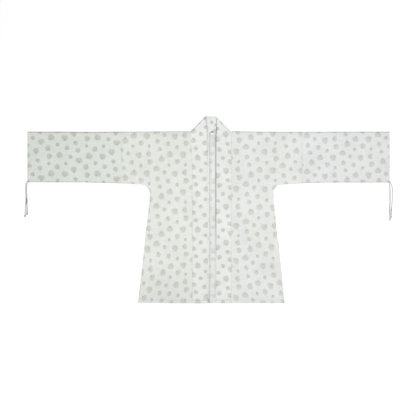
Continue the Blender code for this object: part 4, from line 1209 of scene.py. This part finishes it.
def makeBand():
    # the strip's section, folded lengthwise, carried along rings that are square to the strip at the neck,
    # turn until they lie along the fold at the shoulder, go round it and turn square again on the front
    radius, gap = layers["foldRadius"], layers["seamGap"] / 2
    turnRadius = radius + gap
    wrap = math.pi * turnRadius
    foldSeam = cut["bandSeam"] - wrap / math.sqrt(2)
    foldFree = foldSeam - band["width"]
    flatEnd, pressed = band["width"] - radius, band["width"] - band["pressLine"]
    across = samplesWith(gap, flatEnd, band["stepAcross"], [band["seamRollWidth"], pressed])
    flat, turn = np.full(len(across), radius), foldTurn[1:-1]
    across = np.concatenate([across, flatEnd + radius * np.cos(turn), across[::-1]])
    rise = np.concatenate([-flat, radius * np.sin(turn), flat])
    section = np.concatenate([[0], np.cumsum(np.hypot(np.diff(across), np.diff(rise)))]) + gap
    # where each ring meets the seam and the free edge: even to the fold, round it, fanning out, then square
    share = np.linspace(0, 1, band["neckRings"] + 1)
    seamAlong, freeAlong = foldSeam * share, foldFree * share
    share = np.linspace(0, 1, band["foldRings"] + 1)[1:] * wrap * math.sqrt(2)
    seamAlong, freeAlong = np.append(seamAlong, foldSeam + share), np.append(freeAlong, foldFree + share)
    square = seamAlong[-1] + band["fan"]
    share = np.linspace(0, 1, band["fanRings"] + 1)[1:]
    freeAlong = np.append(freeAlong, freeAlong[-1] + (square - freeAlong[-1]) * share)
    seamAlong = np.append(seamAlong, seamAlong[-1] + band["fan"] * share)
    end = cut["length"] - body["neckDrop"] + cut["bandSeam"]
    straight = np.linspace(square, end, math.ceil((end - square) / band["step"]) + 1)[1:]
    seamAlong, freeAlong = np.append(seamAlong, straight), np.append(freeAlong, straight)
    along = seamAlong[:, None] + (freeAlong - seamAlong)[:, None] * across[None, :] / band["width"]

    def half(side):
        sign, right, left = sides[side], side == "right", side == "left"
        past = (along - foldSeam + across) / math.sqrt(2)
        beside = (foldSeam - along + across) / math.sqrt(2)
        angle = np.clip(past / turnRadius, 0, math.pi)
        out = (turnRadius - rise) * np.sin(angle)
        out = np.where(past < 0, past, np.where(past > wrap, wrap - past, out))
        level = radius + turnRadius - (turnRadius - rise) * np.cos(angle)
        x = sign * (foldSeam - (beside - out) / math.sqrt(2))
        y = -body["neckDrop"] + (beside + out) / math.sqrt(2)
        onFront = past > wrap
        onStrip = (past < 0) * (rise > 0)                 # the layer of the neck strip that faces up
        faceUp = rise < 0                                 # the same once the strip is folded over
        toHem = np.where(onFront, cut["length"] + y, 1.0)
        eased = band["freeEase"] * across / band["width"] * smoothStep(-y / band["freeEaseOver"])
        moved = onFront * left * eased + right * drawnOut(x, y)
        fromFree = np.abs(x) - (cut["bandSeam"] - band["width"])
        belowTop = np.minimum(y, 0)
        edge = edgeDistance(x, belowTop)
        level = level - onFront * smoothStep((-y - band["dropStart"]) / band["dropLength"]) * turnRadius
        level = level + onFront * swellHeight(x, belowTop, edge) * smoothStep(fromFree / band["settle"])
        level = level + onFront * faceUp * creaseHeight(x, belowTop, edge, bandCreases)
        start, finish, lift, reach = band["lift"][side]
        lifted = smoothStep((-y - start) / band["liftSoft"]) * smoothStep((finish + y) / band["liftSoft"])
        level = level + onFront * lift * lifted * smoothStep(1 - fromFree / reach)
        rolled = 1 - smoothStep(across / band["seamRollWidth"])
        level = level - onFront * faceUp * band["seamRoll"] * rolled
        press = onStrip * softBump(across - pressed, band["pressWidth"])
        level = level - band["pressDepth"] * press
        free = np.where(onFront, tableAt(-y, band["freeLines"][side]), band["lines"]["neck"])
        toFold = np.maximum(np.abs(past - wrap / 2) - wrap / 2, 0)
        lines = [band["lines"][key] for key in ("seam", "hem", "fold")] + [free]
        distance, line = nearestEdge([across + 0 * y, toHem, toFold, flatEnd - across], lines)
        # painted shade: in the pressed line, down each front, along the hem and in the darker spots
        soft = band["pressShade"] * press + onFront * tableAt(-y, band["paintedShadeAlong"][side])
        hemShade = softBump(toHem - body["hemTurn"], band["hemShadeWidth"])
        soft = soft + onFront * faceUp * band["hemShade"] * hemShade
        turned = np.clip(past / wrap, 0, 1)               # 0 on the neck strip, 1 on the front
        near = smoothStep((band["foldPast"] - along) / band["foldOver"])
        near = near * smoothStep(along / band["foldNear"])
        ease = band["neckEase"] * np.tanh(along / band["neckEaseLength"]) + band["foldEase"] * near
        ease = ease + right * moved * (1 - turned)
        placeX = cut["bandSeam"] - section - sign * moved * turned + left * band["foldDraw"] * near
        place = np.stack([placeX, -sign * (along + ease)], axis=-1)
        raised = drawn["rise"] * np.clip(y / cut["collarTop"], 0, 1)
        x, y = x - moved, y + raised - onFront * hangAt(x, y)
        soft = soft + spotShade(x, y, band["spots"])
        points = np.stack([x, y, level], axis=-1)
        column = np.flatnonzero((rise > 0) & (np.abs(across - pressed) < 1e-6))[0]
        strip = points[past[:, column] < 0, column]
        return (points, place, np.maximum(distance, 0), line, soft), strip

    (right, rightStrip), (left, leftStrip) = half("right"), half("left")
    keys = ("points", "place", "edge", "line", "shade")
    patch = {key: np.concatenate([one[::-1], two[1:]]) for key, one, two in zip(keys, right, left)}
    middle = patch["points"][:, [0, -1]].mean(axis=1)[:, None, :]
    patch["outward"] = ((patch["points"] - middle) * (0, 0, 1))[:-1, :-1]
    piece = clothPiece("collar_band_cloth", [patch], clothMaterials["collar_band"],
                       ["collar_band"])
    strip = np.concatenate([rightStrip[::-1], leftStrip[1:]])
    stitches = sew("collar_band_stitches", [(strip, 1)])


makeBand()
print("collar band ready")


label = {
    "middle": 0.0013, "width": 0.012, "top": 0.0002, "bottom": -0.018, "rows": 36, "columns": 16,
    "wall": 0.0006, "onStrip": 0.0036, "onBack": 0.0022, "stepOver": 0.006,   # heights of its skin
    "tab": 0.0092, "tabSoft": 0.0003, "bow": 0.0004, "colour": (249, 250, 249), "dark": (156, 158, 160),
}
allowance = {
    # line: how dark the painted shade line along its seam side is
    "width": 0.0105, "rows": 220, "columns": 8, "wall": 0.0004, "line": 0.16, "ground": (240, 242, 239),
    "fromSeam": 0.0003, "fromNeck": 0.001, "fromHem": 0.002, "unseen": 0.007,   # unseen of the whole length
    # waves of its raw edge: size, radians to a metre, start
    "waves": [(0.4, 41, 0), (0.35, 97, 1), (0.25, 173, 2)], "ragged": 0.0004, "wave": 0.00025,
    "rise": 0.0005, "seamRise": 0.0003, "seamShare": 0.3,
    # how far it is shaded at places down from the shoulder
    "shade": [(0.0, 0.1), (0.1, 0.09), (0.16, 0.02), (0.45, 0.03), (0.6, 0.06), (0.76, 0.12),
              (0.825, 0.16), (0.838, 0.42), (0.85, 0.48)],
}


def makeLabel():
    # a tape that steps down from the neck strip to the back, bowed a little between its stitched ends
    across = np.linspace(-0.5, 0.5, label["columns"] + 1)[None, :]
    down = np.linspace(0, 1, label["rows"] + 1)[:, None]
    y = label["top"] + (label["bottom"] - label["top"]) * down + 0 * across
    x = label["middle"] + label["width"] * across + 0 * down
    step = smoothStep((-body["neckDrop"] - y) / label["stepOver"])
    height = label["onStrip"] + (label["onBack"] - label["onStrip"]) * step
    height = height + label["bow"] * np.cos(math.pi * across) * np.sin(math.pi * down)
    tab = smoothStep((label["bottom"] + label["tab"] - y) / label["tabSoft"] + 0.5)
    patch = {"points": np.stack([x, y, height], axis=-1), "outward": (0, 0, 1),
             "place": np.stack([x, y], axis=-1), "edge": tab}
    material = plainCloth("labelTape", label["colour"], label["dark"])
    piece = clothPiece("neck_label_cloth", [patch], [material], ["neck_label"],
                       wall=label["wall"])


def makeAllowance():
    # the centre-back seam's allowance, pressed to one side on the inside of the back: its edge wavers by a
    # sum of three sine waves
    down = np.linspace(body["neckDrop"] + allowance["fromNeck"], cut["length"] - allowance["fromHem"],
                       allowance["rows"])[:, None]
    across = np.linspace(0, 1, allowance["columns"])[None, :]
    wave = sum(size * np.sin(rate * down + start) for size, rate, start in allowance["waves"])
    width = allowance["width"] + allowance["ragged"] * wave
    x = cut["centreBack"] - allowance["fromSeam"] - width * across
    height = layers["wall"] + allowance["rise"] + allowance["wave"] * (1 + wave) * across
    height = height + allowance["seamRise"] * softBump(across, allowance["seamShare"])
    y = -down + 0 * across
    patch = {"points": np.stack([x, y, height], axis=-1), "outward": (0, 0, 1),
             "place": np.stack([x, -y], axis=-1), "edge": allowance["width"] * across + 0 * x,
             "line": allowance["line"], "shade": tableAt(down, allowance["shade"])}
    looks = dict(clothLooks["right_body"], ground=allowance["ground"])
    material = printedCloth("allowance", looks, True)
    piece = clothPiece("centre_back_allowance", [patch], [material], [],
                       wall=allowance["wall"])


makeLabel()
makeAllowance()
print("label and allowance ready")


studio = {
    "floor": (0.45, 0.45, 0.45), "floorSize": 9.0, "floorLevel": -0.0002, "floorGlow": 0.6,
    "floorRoughness": 0.95, "floorSpecular": 0.1, "grain": 60.0, "grainRange": (0.3, 0.7, 0.995, 1.005),
    "worldStrength": 0.49,
    "lamps": [
        {"name": "key", "place": (0.7, 0.6, 3.0), "size": 1.2, "power": 44},
        {"name": "fill", "place": (-1.5, -1.7, 2.8), "size": 2.2, "power": 24},
    ],
}


def makeStage():
    # a square floor with a faint grain, even light from all round, and lamps turned to the middle
    half = studio["floorSize"] / 2
    mesh = bpy.data.meshes.new("floor")
    corners = [(-half, -half), (half, -half), (half, half), (-half, half)]
    mesh.from_pydata([(x, y, studio["floorLevel"]) for x, y in corners], [], [(0, 1, 2, 3)])
    material, tree, shader = newMaterial("floorPaper")
    place = addNode(tree, "ShaderNodeTexCoord").outputs["Object"]
    tone = softRange(tree, noise(tree, place, studio["grain"], 3.0), *studio["grainRange"])
    setInputs(tree, shader, {
        "Base Color": vectorMaths(tree, "MULTIPLY", studio["floor"], tone),
        "Roughness": studio["floorRoughness"],
        "Specular IOR Level": studio["floorSpecular"],
        "Emission Color": white,
        "Emission Strength": studio["floorGlow"],
    })
    mesh.materials.append(material)
    addObject("floor", mesh)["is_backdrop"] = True
    world = bpy.data.worlds.new("studio")
    world.use_nodes = True
    sky = world.node_tree.nodes["Background"]
    setInputs(world.node_tree, sky, {"Color": white, "Strength": studio["worldStrength"]})
    bpy.context.scene.world = world
    for lamp in studio["lamps"]:
        data = bpy.data.lights.new(lamp["name"], "AREA")
        data.size = lamp["size"]
        data.energy = lamp["power"]
        item = addObject(lamp["name"], data)
        item.location = lamp["place"]
        item.rotation_euler = (-item.location).to_track_quat("-Z", "Y").to_euler()   # towards the middle


makeStage()
bpy.context.scene.view_settings.view_transform = "Standard"
print("stage ready")

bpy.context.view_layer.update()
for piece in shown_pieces():
    if piece.type == "MESH":
        piece.data.calc_loop_triangles()
        print(piece.name, len(piece.data.loop_triangles), "triangles")
